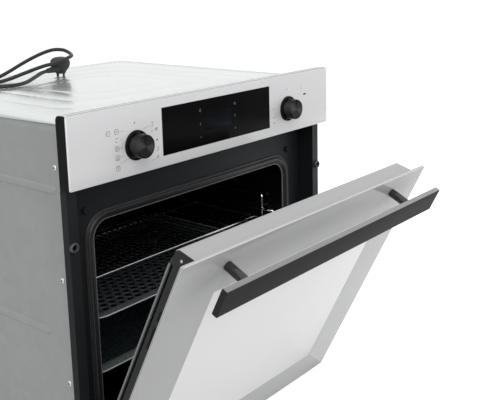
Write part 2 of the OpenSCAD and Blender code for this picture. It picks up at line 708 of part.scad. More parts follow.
module blower_housing() color("silver") at_front() difference() {
    union() {
        rod_z(0, blower_y, blower_z, blower_top, blower_d / 2);
        translate([0, 0, blower_z]) linear_extrude(duct_z - blower_z) duct(sheet);
    }
    rod_z(0, blower_y, blower_z + sheet, blower_top - sheet, blower_d / 2 - sheet);
    translate([0, 0, blower_z + sheet]) linear_extrude(duct_z - blower_z - 2 * sheet) duct(0);
    rod_z(0, blower_y, blower_z - cut, blower_z + 2 * sheet, blower_wheel_d / 4);
    rod_z(0, blower_y, blower_top - 2 * sheet, blower_top + cut, 8);
}

module blower_impeller() color("gray") at_front() {
    top = blower_top - sheet - 4;
    rod_z(0, blower_y, top - 1.2, top, blower_wheel_d / 2);
    rod_z(0, blower_y, top - 12, blower_top + blower_motor_h - 4, 3);
    rod_z(0, blower_y, top - 12, top, 8);
    for (i = [0 : 15]) translate([0, blower_y, 0]) rotate(i * 22.5)
        box([blower_wheel_d / 2 - 20, -0.6, blower_z + sheet + 4], [blower_wheel_d / 2 - 1, 0.6, top]);
}

module blower_motor() color("dimgray") at_front() difference() {
    rod_z(0, blower_y, blower_top, blower_top + blower_motor_h, blower_motor_d / 2);
    rod_z(0, blower_y, blower_top - cut, blower_top + blower_motor_h - 3, 3 + running);
}

// ---------- fascia ----------

module fascia_outline(inset) translate([0, fascia_z + fascia_h / 2]) square([front_w - 2 * inset, fascia_h], center = true);

module fascia_glass() color([0.86, 0.86, 0.87]) at_front() in_xz(0, fascia_glass_t) difference() {
    fascia_outline(end_cap_w);
    translate([0, display_z]) square([display_w + 2 * touching, display_h + 2 * touching], center = true);
    for (x = [-1, 1]) translate([x * knob_spacing / 2, knob_z]) circle(6);
}

module fascia_frame() color([0.05, 0.05, 0.05]) at_front() difference() {
    wide_box(front_w, 0, fascia_d, fascia_z, front_h);
    wide_box(front_w - 2 * end_cap_w, -cut, fascia_glass_t, fascia_z - cut, front_h + cut);
    wide_box(front_w - 2 * end_cap_w - 6, 0, fascia_d - 1.5, fascia_z + 3, front_h - 3);
    in_xz(fascia_d - 3, fascia_d + cut) for (x = [-1, 1]) translate([x * knob_spacing / 2, knob_z]) circle(6);
}

module display_window() color([0.03, 0.03, 0.04]) at_front()
    wide_box(display_w, 0, fascia_glass_t, display_z - display_h / 2, display_z + display_h / 2);

module control_board() color("darkgreen") at_front() {
    board_y = fascia_d - 6;
    wide_box(display_w - 12, board_y, board_y + 1.6, display_z - display_h / 2 + 4, display_z + display_h / 2 - 4);
    wide_box(70, fascia_glass_t + touching, board_y, display_z - 16, display_z + 18);
    for (x = [-1, 1], z = [-1, 1])
        rod_y(x * (display_w / 2 - 14), board_y, fascia_d - 1.5, display_z + z * (display_h / 2 - 12), 3);
}

module rotary_switches() color("dimgray") at_front() for (x = [-1, 1]) difference() {
    union() {
        box([x * knob_spacing / 2 - 20, fascia_d, knob_z - 20], [x * knob_spacing / 2 + 20, recess_y - 4, knob_z + 20]);
        rod_y(x * knob_spacing / 2, fascia_d - 5, fascia_d + cut, knob_z, 5.5);
    }
    rod_y(x * knob_spacing / 2, fascia_d - 6, recess_y, knob_z, spindle_d / 2 + running);
}

module knob_bezels() color([0.08, 0.08, 0.08]) at_front() for (x = [-1, 1]) difference() {
    rod_y(x * knob_spacing / 2, -bezel_h, 0, knob_z, bezel_d / 2);
    rod_y(x * knob_spacing / 2, -bezel_h - cut, cut, knob_z, knob_d / 2 + 1);
}

module knob(x) translate([x, 0, knob_z]) difference() {
    union() {
        translate([0, -1, 0]) rotate([90, 0, 0]) cylinder(d1 = knob_d, d2 = knob_face_d, h = knob_h);
        rod_y(0, -2, recess_y - 8, 0, spindle_d / 2);
    }
    box([-1, -knob_h - 2, knob_face_d / 2 - 7], [1, -knob_h + 0.2, knob_d / 2 + cut]);
}

module knob_left() color([0.15, 0.15, 0.16]) at_front() knob(-knob_spacing / 2);
module knob_right() color([0.15, 0.15, 0.16]) at_front() knob(knob_spacing / 2);

// ---------- mains cord ----------

module terminal_box() color("dimgray") at_front()
    box([gland_x - 32, casing_back - sheet - 36, gland_z - 26], [gland_x + 32, casing_back - sheet, gland_z + 26]);

module cord_gland() color([0.1, 0.1, 0.1]) at_front() {
    rod_y(gland_x, casing_back - sheet, casing_back + cut, gland_z, 7);
    rod_y(gland_x, casing_back, casing_back + 5, gland_z, 12);
    translate([gland_x, casing_back, gland_z]) rotate([-90, 0, 0]) cylinder(r1 = 8.5, r2 = 5, h = gland_len);
}

module cord_rear() color([0.08, 0.08, 0.08]) sweep(route_points(rear_route, 2), cord_d / 2, cord_sides);

module cord_coil() color([0.08, 0.08, 0.08]) translate(coil_at - [0, 0, cord_d])
    rotate_extrude() translate([coil_mean_r - 1.5 * cord_d, 0]) square([3 * cord_d, 2 * cord_d]);

module cord_front() color([0.08, 0.08, 0.08]) sweep(route_points(front_route, 2), cord_d / 2, cord_sides);

module power_plug() color([0.14, 0.14, 0.14]) translate([plug_at[0], plug_at[1], 0]) {
    shoulder_z = plug_face_z + 17;
    rod_z(0, 0, plug_face_z, shoulder_z, plug_d / 2);
    translate([0, 0, shoulder_z]) cylinder(r1 = plug_d / 2, r2 = plug_d / 2 - 6, h = plug_top_z - shoulder_z);
    translate([0, 0, plug_face_z + 6.5]) rotate([0, 0, plug_turn]) rotate([0, -90, 0]) cylinder(r1 = 6.5, r2 = 4.6, h = 48);
    rotate(plug_pin_turn) for (x = [-1, 1]) rod_z(x * plug_pin_gap / 2, 0, casing_h, plug_face_z + cut, plug_pin_d / 2);
}

// ---------- hinges ----------

receiver_len = 70;

module hinge_receivers() color("silver") at_front() both_sides() difference() {
    h = hinge_eye_r + 5;
    box([hinge_x - 9, recess_y + frame_t, hinge_z - h], [hinge_x + 9, recess_y + frame_t + receiver_len, hinge_z + h]);
    box([hinge_x - hinge_arm_t / 2 - touching, recess_y, hinge_z - hinge_eye_r - touching],
        [hinge_x + hinge_arm_t / 2 + touching, recess_y + receiver_len, hinge_z + hinge_eye_r + touching]);
}

module hinge_arms() color("darkgray") at_front() both_sides() difference() {
    union() {
        rod_x(hinge_x - hinge_arm_t / 2, hinge_x + hinge_arm_t / 2, hinge_y, hinge_z, hinge_eye_r);
        box([hinge_x - hinge_arm_t / 2, hinge_y, hinge_z - hinge_eye_r],
            [hinge_x + hinge_arm_t / 2, recess_y + receiver_len - 6, hinge_z + hinge_eye_r]);
    }
    rod_x(hinge_x - hinge_arm_t, hinge_x + hinge_arm_t, hinge_y, hinge_z, hinge_pin_d / 2 + running);
}

module hinge_pins() color("silver") on_door() both_sides()
    rod_x(hinge_x - channel_w / 2 - 0.5, hinge_x + channel_w / 2 + 0.5, hinge_y, hinge_z, hinge_pin_d / 2);

channel_top = 190;
web_z = hinge_z + 14;

module hinge_channels() color("gray") on_door() both_sides() difference() {
    union() {
        for (x = [-channel_w / 2, cheek_gap / 2])
            box([hinge_x + x, glass_t + profile_t, hinge_z - 12], [hinge_x + x + profile_t, door_body_d - 6, channel_top]);
        box([hinge_x - channel_w / 2, glass_t + profile_t, web_z],
            [hinge_x + channel_w / 2, glass_t + 2 * profile_t, channel_top]);
    }
    rod_x(hinge_x - channel_w, hinge_x + channel_w, hinge_y, hinge_z, hinge_pin_d / 2);
}

module hinge_springs() color("darkgray") on_door() both_sides() {
    r = cheek_gap / 2 - 0.6;
    turns = 22;
    pitch = 4;
    translate([hinge_x, glass_t + 2 * profile_t + r + touching, web_z + 18]) {
        rotate_extrude() polygon(concat([[0, 0]],
            [for (i = [0 : turns - 1], s = [0, 1]) [s == 0 ? r - 1.2 : r, (i + s / 2) * pitch]], [[0, turns * pitch]]));
        rod_z(0, 0, -8, turns * pitch + 8, 1.5);
    }
}

// ---------- door ----------

cap_front_z = glass_top - 5;
cap_back_z = glass_top - 11;
inner_glass_z = hinge_z + 10;
inner_glass_top = glass_top - 28;
rail_low_z = hinge_z - 18;
door_body_x = door_body_w / 2;
side_w = 6;
middle_y = (glass_t + door_body_d) / 2 - middle_glass_t / 2;
rail_w = 2 * (hinge_x - channel_w / 2 - 4);

module outer_glass() color([0.85, 0.85, 0.86]) on_door() difference() {
    wide_box(front_w, 0, glass_t, door_lift, glass_top);
    for (x = [-1, 1]) rod_y(x * post_spacing / 2, -cut, glass_t + cut, post_z(), 4);
}

module inner_glass() color([0.75, 0.78, 0.78, 0.6]) on_door()
    wide_box(inner_glass_w, door_body_d, door_body_d + inner_glass_t, inner_glass_z, inner_glass_top);

module middle_glass() color([0.75, 0.78, 0.78, 0.6]) on_door()
    wide_box(rail_w - 4, middle_y, middle_y + middle_glass_t, hinge_z + 2, cap_back_z - 14);

// Profile at each end of the door: outer wall, flange on the glass and flange for the inner glass
module door_side() {
    top = [[glass_t, cap_front_z], [door_body_d - 7, cap_back_z + 1.5], [door_body_d, cap_back_z - 7]];
    difference() {
        union() {
            in_yz(door_body_x - side_w, door_body_x) polygon(concat([[door_body_d, rail_low_z], [glass_t, rail_low_z]], top));
            box([hinge_x - channel_w / 2, glass_t, web_z], [door_body_x, glass_t + profile_t, cap_front_z - 8]);
        }
        box([door_body_x - side_w - cut, glass_t + profile_t, rail_low_z - cut],
            [door_body_x - profile_t, door_body_d - profile_t, cap_back_z - 12]);
    }
}

module door_side_left() color([0.25, 0.26, 0.27]) on_door() mirror([1, 0, 0]) door_side();
module door_side_right() color([0.25, 0.26, 0.27]) on_door() door_side();

module door_top_cap() color([0.73, 0.73, 0.74]) on_door() {
    skirt = cap_back_z - 16;
    wall = profile_t;
    in_yz(-(door_body_x - side_w - touching), door_body_x - side_w - touching) polygon([
        [glass_t + profile_t + touching, skirt], [glass_t + profile_t + touching, cap_front_z - wall], [glass_t, cap_front_z - 4],
        [glass_t, cap_front_z], [door_body_d, cap_back_z], [door_body_d, skirt],
        [door_body_d - wall, skirt], [door_body_d - wall, cap_back_z - wall],
        [middle_y + middle_glass_t + touching + wall, cap_back_z - wall + 1.5],
        [middle_y + middle_glass_t + touching + wall, cap_back_z - 13],
        [middle_y + middle_glass_t + touching, cap_back_z - 13], [middle_y + middle_glass_t + touching, cap_back_z - 2],
        [middle_y - touching, cap_back_z - 2], [middle_y - touching, cap_back_z - 13],
        [middle_y - touching - wall, cap_back_z - 13], [middle_y - touching - wall, cap_front_z - 6],
        [glass_t + profile_t + touching + wall, cap_front_z - 5], [glass_t + profile_t + touching + wall, skirt]
    ]);
}

module door_bottom_rail() color([0.25, 0.26, 0.27]) on_door() difference() {
    wide_box(rail_w, glass_t, door_body_d, rail_low_z, inner_glass_z + 8);
    wide_box(rail_w + 2 * cut, glass_t + profile_t, door_body_d - profile_t, hinge_z + 4, inner_glass_z + 8 + cut);
    wide_box(rail_w + 2 * cut, glass_t + profile_t, door_body_d - profile_t, rail_low_z + profile_t, hinge_z - 2);
    wide_box(rail_w - 4 + 2 * touching, middle_y - touching, middle_y + middle_glass_t + touching, hinge_z + 2 - touching, hinge_z + 5);
}

// ---------- handle ----------

handle_top = glass_top - handle_drop;
handle_back = -(handle_reach - handle_t);
function post_z() = handle_top - handle_h / 2 - 3;

module handle_bar() color([0.14, 0.14, 0.15]) on_door() difference() {
    wide_box(handle_w, -handle_reach, handle_back, handle_top - handle_h, handle_top);
    for (x = [-1, 1]) rod_y(x * post_spacing / 2, handle_back - 5, handle_back + cut, post_z(), post_d / 2 - 3);
}

module handle_posts() color([0.2, 0.2, 0.2]) on_door() for (x = [-1, 1]) difference() {
    union() {
        rod_y(x * post_spacing / 2, handle_back, 0, post_z(), post_d / 2);
        rod_y(x * post_spacing / 2, handle_back - 4.5, handle_back + cut, post_z(), post_d / 2 - 3 - touching);
    }
    rod_y(x * post_spacing / 2, -22, cut, post_z(), 2.5);
}

module handle_screws() color("silver") on_door() for (x = [-1, 1]) {
    rod_y(x * post_spacing / 2, -20, glass_t + cut, post_z(), 2.4);
    rod_y(x * post_spacing / 2, glass_t, glass_t + profile_t - touching, post_z(), 6);
}

base_plate();
side_panel_left();
side_panel_right();
top_cover();
back_panel();
deck_plate();
casing_screws();
front_frame();
frame_bushings();
door_buffers();
door_gasket();
cavity();
insulation();
ladder_left();
ladder_right();
wire_grid();
perforated_tray();
deep_tray();
grill_element();
ring_element();
bottom_element();
fan_cover();
fan_impeller();
fan_motor();
lamp_housing();
lamp_glass();
temperature_probe();
blower_housing();
blower_impeller();
blower_motor();
fascia_glass();
fascia_frame();
display_window();
control_board();
rotary_switches();
knob_bezels();
knob_left();
knob_right();
terminal_box();
cord_gland();
cord_rear();
cord_coil();
cord_front();
power_plug();
hinge_receivers();
hinge_arms();
hinge_pins();
hinge_channels();
hinge_springs();
outer_glass();
middle_glass();
inner_glass();
door_side_left();
door_side_right();
door_top_cap();
door_bottom_rail();
handle_bar();
handle_posts();
handle_screws();
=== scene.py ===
# %% [markdown]
# # A built-in wall oven, fully dressed
#
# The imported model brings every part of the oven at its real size: casing, cavity, shelves, fans, door
# and control panel. This lesson gives those parts their looks. Where a part is flat-edged in the
# model but rounded, pressed or bent from wire in life, a new piece is worked out with numpy and
# stands in its place. Everything is in metres, and the oven's front looks along -Y.

# %% Load the frame
import json
import math

import bpy
import numpy as np
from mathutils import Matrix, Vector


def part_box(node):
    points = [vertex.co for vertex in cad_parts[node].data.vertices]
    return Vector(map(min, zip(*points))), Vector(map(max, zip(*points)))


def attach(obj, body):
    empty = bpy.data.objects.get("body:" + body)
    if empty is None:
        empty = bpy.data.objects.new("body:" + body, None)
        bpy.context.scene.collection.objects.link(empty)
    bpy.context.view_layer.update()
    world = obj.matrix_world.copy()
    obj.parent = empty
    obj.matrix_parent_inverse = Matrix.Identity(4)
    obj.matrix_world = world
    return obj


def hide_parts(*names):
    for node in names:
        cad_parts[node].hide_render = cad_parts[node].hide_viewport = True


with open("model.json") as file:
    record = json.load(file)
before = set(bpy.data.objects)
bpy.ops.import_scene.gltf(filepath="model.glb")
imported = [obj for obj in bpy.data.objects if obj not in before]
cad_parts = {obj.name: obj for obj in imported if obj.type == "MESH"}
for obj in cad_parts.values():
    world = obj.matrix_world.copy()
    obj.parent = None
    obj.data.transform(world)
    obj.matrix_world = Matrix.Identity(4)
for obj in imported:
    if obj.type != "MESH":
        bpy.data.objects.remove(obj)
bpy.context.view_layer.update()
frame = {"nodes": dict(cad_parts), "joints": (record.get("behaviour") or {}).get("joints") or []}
nodes = frame["nodes"]
MM = 0.001


# %% [markdown]
# ## Places come from the frame
#
# A part is placed by the box of the part that it stands for, so nothing here has to be measured
# twice. The door is drawn partly open. Its parts are easier to shape on a closed door, so they are
# worked out closed and then turned about the hinge line by as much as the hinge can still close.

# %% Boxes and the door's turn
def box_of(name):
    """Lowest and highest corner of one frame part."""
    low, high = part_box(name)
    return np.array(low), np.array(high)


def span(*names):
    """Lowest and highest corner of several frame parts together."""
    boxes = np.array([box_of(name) for name in names])
    return boxes[:, 0].min(0), boxes[:, 1].max(0)


hinge = next(j for j in frame["joints"] if j["name"] == "door_hinge")
hinge_at = np.array(hinge["pos_m"])
door_angle = math.radians(-hinge["range_deg"][0])


def turned_about_hinge(points, angle):
    """Each point keeps its distance from the hinge line; its Y and Z turn by the angle."""
    p = np.asarray(points, float) - hinge_at
    c, s = math.cos(angle), math.sin(angle)
    return np.stack([p[..., 0], p[..., 1] * c - p[..., 2] * s, p[..., 1] * s + p[..., 2] * c], -1) + hinge_at


def hang(points):
    """Closed-door points, swung to where the door stands open."""
    return turned_about_hinge(points, door_angle)


def mesh_points(name):
    """All the points of a frame part's mesh."""
    mesh = nodes[name].data
    points = np.empty(len(mesh.vertices) * 3)
    mesh.vertices.foreach_get("co", points)
    return points.reshape(-1, 3)


def closed_span(name):
    """The box that a door part fills when the door is shut."""
    found = turned_about_hinge(mesh_points(name), -door_angle)
    return found.min(0), found.max(0)


def on_side(side, near, far):
    """Two distances from the middle plane as lowest and highest X, left (-1) or right (1)."""
    return sorted((side * near, side * far))


front_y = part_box("fascia_glass")[0].y
casing_low, casing_high = span("side_panel_left", "side_panel_right", "back_panel", "top_cover")
print("door open by", round(math.degrees(door_angle), 1), "degrees; casing from", casing_low.round(3))

# %% [markdown]
# ## From a grid of points to a mesh
#
# Every new piece is a grid of points: rows are places along it, columns are places round it. Quads
# join neighbours, and where the last column meets the first the grid is wrapped. Ends are closed
# with one flat face each. The signed volume of a closed piece tells whether its faces point out.

# %% Grids into meshes
def grid_faces(rows, columns, wrap_rows=False, wrap_columns=False):
    """Quads between neighbouring points of a grid, row after row."""
    r = np.arange(rows if wrap_rows else rows - 1)[:, None]
    c = np.arange(columns if wrap_columns else columns - 1)[None, :]
    r2, c2 = (r + 1) % rows, (c + 1) % columns
    quads = [r * columns + c, r * columns + c2, r2 * columns + c2, r2 * columns + c]
    return np.stack(quads, -1).reshape(-1, 4)


def solid(grid, ring=False):
    """Points and faces of a grid whose columns close on themselves. In a ring the rows close too;
    otherwise one flat face closes either end."""
    rows, columns = grid.shape[:2]
    faces = grid_faces(rows, columns, ring, True).tolist()
    if not ring:
        faces.append(list(range(columns))[::-1])
        faces.append(list(range((rows - 1) * columns, rows * columns)))
    return grid.reshape(-1, 3), faces


def ring_sheet(rings, floor=False):
    """An open sheet from closed rings, one inside the other; a floor closes the last ring."""
    rows, columns = rings.shape[:2]
    faces = grid_faces(rows, columns, False, True).tolist()
    if floor:
        faces.append(list(range((rows - 1) * columns, rows * columns)))
    return rings.reshape(-1, 3), faces


def joined(*shapes):
    """Several (points, faces) shapes as one."""
    points, faces, start = [], [], 0
    for p, f in shapes:
        points.append(np.asarray(p, float))
        faces += [[i + start for i in face] for face in f]
        start += len(p)
    return np.concatenate(points), faces


def hung(shape):
    """A shape of the closed door, swung to where the door stands open."""
    points, faces = shape
    return hang(points), faces


def outward(points, faces):
    """Turns the faces round if the volume under them, summed over triangle fans, is negative."""
    first = np.array([[f[0], f[i], f[i + 1]] for f in faces for i in range(1, len(f) - 1)])
    a, b, c = (points[first[:, i]] for i in range(3))
    return faces if np.einsum("ij,ij->i", a, np.cross(b, c)).sum() > 0 else [f[::-1] for f in faces]


def make(name, shape, material, body, stands_for=(), crease=35, closed=True):
    """Puts a shape into the scene as one piece that rides on a body of the frame."""
    points, faces = shape
    points = np.asarray(points, float)
    if closed:
        faces = outward(points - points.mean(0), faces)
    mesh = bpy.data.meshes.new(name)
    mesh.from_pydata(points.tolist(), [], faces)
    mesh.validate()
    mesh.shade_smooth()
    mesh.set_sharp_from_angle(angle=math.radians(crease))
    piece = bpy.data.objects.new(name, mesh)
    bpy.context.scene.collection.objects.link(piece)
    mesh.materials.append(material)
    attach(piece, body)
    if stands_for:
        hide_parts(*stands_for)
    return piece


def bevelled(piece, width, segments=2, angle=40):
    """A small round on every edge that is sharper than the angle."""
    bevel = piece.modifiers.new("edges", "BEVEL")
    bevel.width = width
    bevel.segments = segments
    bevel.limit_method = "ANGLE"
    bevel.angle_limit = math.radians(angle)
    bevel.harden_normals = False
    return piece


# %% [markdown]
# ## The shapes that an oven is made of
#
# Nearly all of it is one of five: a block with round edges, a bar of constant outline, a turned
# part, a bent wire or strip, and a pressed sheet. Each is a function of two parameters.

# %% Outlines
def rounded_outline(w, h, r, steps=6):
    """Quarter circles of radius r about the four corners of a rectangle w by h, round the origin."""
    quarter = np.repeat(np.arange(4), steps + 1)
    angle = quarter * math.pi / 2 + np.tile(np.linspace(0, math.pi / 2, steps + 1), 4)
    sign_x = np.array([1, -1, -1, 1])[quarter]
    sign_y = np.array([1, 1, -1, -1])[quarter]
    x = sign_x * (w / 2 - r) + r * np.cos(angle)
    y = sign_y * (h / 2 - r) + r * np.sin(angle)
    return np.stack([x, y], -1)


def filleted(corners, radii, steps=5, closed=True):
    """A line through corner points (2D or 3D) in which each corner is cut by a smooth arc of its radius."""
    corners = np.asarray(corners, float)
    radii = np.broadcast_to(radii, len(corners))
    out, last = [], len(corners) - 1
    for i, corner in enumerate(corners):
        if (not closed and i in (0, last)) or radii[i] == 0:
            out.append(corner[None])
            continue
        before = corners[i - 1] - corner
        after = corners[(i + 1) % len(corners)] - corner
        u, v = before / np.linalg.norm(before), after / np.linalg.norm(after)
        half = math.acos(float(np.clip(u @ v, -0.9999, 0.9999))) / 2
        middle = corner + (u + v) / np.linalg.norm(u + v) * radii[i] / math.sin(half)
        start = corner + u * radii[i] / math.tan(half) - middle
        end = corner + v * radii[i] / math.tan(half) - middle
        t = np.linspace(0, 1, steps + 1)[:, None]
        sweep = math.pi - 2 * half
        arc = (np.sin((1 - t) * sweep) * start + np.sin(t * sweep) * end) / math.sin(sweep)
        out.append(middle + arc)
    return np.concatenate(out)


AXES = {"x": (1, 2, 0), "y": (0, 2, 1), "z": (0, 1, 2)}


def laid(flat, along, axis):
    """Outline points and a height: the height goes along the named axis."""
    out = np.empty(flat.shape[:-1] + (3,))
    a, b, c = AXES[axis]
    out[..., a], out[..., b], out[..., c] = flat[..., 0], flat[..., 1], along
    return out


# %% Blocks, bars and turned parts
def block(low, high, corner, edge, axis, steps=6):
    """A block whose outline across the axis has round corners, and whose two ends are rounded by edge.
    Towards an end the outline shrinks by edge * (1 - sin t) while it moves on by edge * (1 - cos t)."""
    low, high = np.asarray(low, float), np.asarray(high, float)
    a, b, c = AXES[axis]
    t = np.linspace(0, math.pi / 2, 4)
    inset = np.concatenate([edge * (1 - np.sin(t)), edge * (1 - np.sin(t[::-1]))])
    place = np.concatenate([low[c] + edge * (1 - np.cos(t)), high[c] - edge * (1 - np.cos(t[::-1]))])
    w, h = high[a] - low[a], high[b] - low[b]
    rows = []
    for shrink, at in zip(inset, place):
        flat = rounded_outline(w - 2 * shrink, h - 2 * shrink, max(corner - shrink, 1e-5), steps)
        flat = flat + [(low[a] + high[a]) / 2, (low[b] + high[b]) / 2]
        rows.append(laid(flat, at, axis))
    return solid(np.array(rows))


def bar(outline, low, high, axis):
    """An outline carried straight along an axis."""
    return solid(np.array([laid(np.asarray(outline, float), at, axis) for at in (low, high)]))


def turned(profile, centre, axis, steps=64, wrap=False):
    """A profile of (radius, place along the axis) spun round it; x = r cos t, y = r sin t."""
    profile = np.asarray(profile, float)
    t = np.linspace(0, 2 * math.pi, steps, endpoint=False)
    flat = profile[:, :1, None] * np.stack([np.cos(t), np.sin(t)], 0)[None]
    grid = laid(flat.transpose(0, 2, 1), profile[:, 1:2] + 0 * t, axis) + np.asarray(centre, float)
    return solid(grid, wrap)


# %% Wires, strips and pressed sheets
def swept(path, section, normal, closed=False):
    """A section (across, up) carried along a path that lies in the plane of the given normal.
    Across is the path's direction crossed with the normal, widened at corners to keep its width."""
    path, normal = np.asarray(path, float), np.asarray(normal, float)
    if closed:
        before, after = np.roll(path, 1, 0), np.roll(path, -1, 0)
    else:
        before = np.concatenate([2 * path[:1] - path[1:2], path[:-1]])
        after = np.concatenate([path[1:], 2 * path[-1:] - path[-2:-1]])
    into, out = path - before, after - path
    into /= np.linalg.norm(into, axis=1, keepdims=True)
    out /= np.linalg.norm(out, axis=1, keepdims=True)
    middle = into + out
    middle /= np.linalg.norm(middle, axis=1, keepdims=True)
    widen = 1 / np.maximum(np.einsum("ij,ij->i", middle, into), 0.5)
    side = np.cross(middle, normal) * widen[:, None]
    section = np.asarray(section, float)
    grid = path[:, None] + section[None, :, :1] * side[:, None] + section[None, :, 1:] * normal
    return solid(grid, closed)


def circle(r, sides=10):
    """Points at equal angles, at r from the middle."""
    t = np.linspace(0, 2 * math.pi, sides, endpoint=False)
    return np.stack([r * np.cos(t), r * np.sin(t)], -1)


def wire(path, r, normal, closed=False, sides=10):
    """A bent round wire."""
    return swept(path, circle(r, sides), normal, closed)


def lines(low, high, coarse, near=(), reach=0.0, fine=1.0):
    """Grid lines from low to high: a coarse step, and a fine one within reach of the places in near."""
    parts = [np.linspace(low, high, int(round((high - low) / coarse)) + 1)]
    for place in near:
        parts.append(np.arange(place - reach, place + reach + fine / 2, fine))
    values = np.unique(np.clip(np.concatenate(parts), low, high).round(6))
    keep = np.concatenate([[True], np.diff(values) > 0.3 * fine])
    return values[keep]


def sheet_of(grid, keep=None):
    """An open sheet: quads over the grid, less those that keep marks False."""
    faces = grid_faces(grid.shape[0], grid.shape[1])
    if keep is not None:
        faces = faces[keep.reshape(-1)]
    return grid.reshape(-1, 3), faces.tolist()


def step_up(distance, width):
    """0 outside, 1 inside: rises over the given width as distance goes from +width/2 to -width/2."""
    t = np.clip(0.5 - distance / width, 0, 1)
    return t * t * (3 - 2 * t)


def round_box_distance(x, y, half_w, half_h, r):
    """How far a point lies outside a rectangle with round corners; negative inside."""
    dx, dy = np.abs(x) - (half_w - r), np.abs(y) - (half_h - r)
    outside = np.hypot(np.maximum(dx, 0), np.maximum(dy, 0))
    return outside + np.minimum(np.maximum(dx, dy), 0) - r


def thickened(piece, t):
    """Gives an open sheet its wall, behind the side that its faces look to."""
    wall = piece.modifiers.new("wall", "SOLIDIFY")
    wall.thickness = t
    wall.offset = -1
    return piece


print("shape functions ready")

# %% [markdown]
# ## The camera
#
# It stands to the left of the oven, a little above it, and looks down along the open door. A lens
# shift keeps the upright edges close to upright, as a view camera does. The basis is worked out from
# a turn, a tilt and a small roll, so that each of the three can be changed by itself.

# %% Camera
camera_at = (-0.92262, -1.11205, 0.77513)
yaw, pitch, roll = (math.radians(a) for a in (50.245, -10.988, -1.318))
look = np.array([math.sin(yaw) * math.cos(pitch), math.cos(yaw) * math.cos(pitch), math.sin(pitch)])
level = np.array([math.cos(yaw), -math.sin(yaw), 0])
upward = np.cross(level, look)
right = math.cos(roll) * level + math.sin(roll) * upward
upright = math.cos(roll) * upward - math.sin(roll) * level
camera = bpy.data.objects.new("camera", bpy.data.cameras.new("camera"))
bpy.context.scene.collection.objects.link(camera)
camera.data.sensor_width = 36
camera.data.lens = 57.765
camera.data.shift_y = -0.15
camera.data.clip_end = 50
basis = np.eye(4)
basis[:3, 0], basis[:3, 1], basis[:3, 2] = right, upright, -look
basis[:3, 3] = camera_at
camera.matrix_world = basis.T.tolist()
bpy.context.scene.camera = camera
bpy.context.scene.view_settings.view_transform = "Standard"
print("camera turned", round(math.degrees(yaw), 1), "degrees from the oven's depth axis")

# %% [markdown]
# ## Effects that several finishes share
#
# Each effect is a shader node group. It takes a place on the surface and a size, and gives a mask
# from 0 to 1 and a height. A finish then mixes its colour and roughness by the mask and feeds the
# height to a Bump node, so that the shader itself stays in the material.

# %% Effect groups
def effect(name, **inputs):
    """A node group with a Vector input, named number inputs, and the outputs Mask and Height."""
    group = bpy.data.node_groups.new(name, "ShaderNodeTree")
    group.interface.new_socket("Vector", in_out="INPUT", socket_type="NodeSocketVector")
    for label, value in inputs.items():
        socket = group.interface.new_socket(label, in_out="INPUT", socket_type="NodeSocketFloat")
        socket.default_value = value
    group.interface.new_socket("Mask", in_out="OUTPUT", socket_type="NodeSocketFloat")
    group.interface.new_socket("Height", in_out="OUTPUT", socket_type="NodeSocketFloat")
    return group, group.nodes.new("NodeGroupInput"), group.nodes.new("NodeGroupOutput")


def node(tree, kind, links=(), **values):
    """Adds a node; values set its properties, and links pair an input name with a socket or number."""
    made = tree.nodes.new("ShaderNode" + kind)
    for key, value in values.items():
        setattr(made, key, value)
    for key, source in dict(links).items():
        if isinstance(source, bpy.types.NodeSocket):
            tree.links.new(source, made.inputs[key])
        else:
            made.inputs[key].default_value = source
    return made


def sharpened(tree, socket, low, high):
    """Maps the range low..high to 0..1 and cuts off the rest."""
    return node(tree, "MapRange", {0: socket, 1: low, 2: high, 3: 0.0, 4: 1.0}).outputs[0]


def grain_effect(name, stretch, low, high, detail=4.0):
    """Noise, drawn out along an axis by stretch: fine grain, brushing or a soft cloudiness."""
    tree, given, out = effect(name, Scale=100.0)
    scaled = node(tree, "VectorMath", {0: given.outputs["Vector"], 1: stretch}, operation="MULTIPLY")
    links = {"Vector": scaled.outputs[0], "Scale": given.outputs["Scale"], "Detail": detail}
    noise = node(tree, "TexNoise", links)
    tree.links.new(sharpened(tree, noise.outputs[0], low, high), out.inputs["Mask"])
    tree.links.new(noise.outputs[0], out.inputs["Height"])
    return tree


fine_grain = grain_effect("fine_grain", (1, 1, 1), 0.35, 0.65)
cloudiness = grain_effect("cloudiness", (1, 1, 1), 0.42, 0.7, 6.0)
brushed_x = grain_effect("brushed_x", (0.02, 1, 1), 0.3, 0.7)
brushed_y = grain_effect("brushed_y", (1, 0.02, 1), 0.3, 0.7)


def spangle_effect():
    """Zinc crystals: each cell of a Voronoi pattern gets its own shade, over a little noise."""
    tree, given, out = effect("zinc_spangle", Scale=60.0)
    links = {"Vector": given.outputs["Vector"], "Scale": given.outputs["Scale"]}
    cells = node(tree, "TexVoronoi", links)
    noise = node(tree, "TexNoise", {**links, "Detail": 3.0})
    shade = node(tree, "SeparateColor", {0: cells.outputs["Color"]})
    both = node(tree, "Math", {0: shade.outputs[0], 1: noise.outputs[0]}, operation="MULTIPLY")
    tree.links.new(both.outputs[0], out.inputs["Mask"])
    tree.links.new(noise.outputs[0], out.inputs["Height"])
    return tree


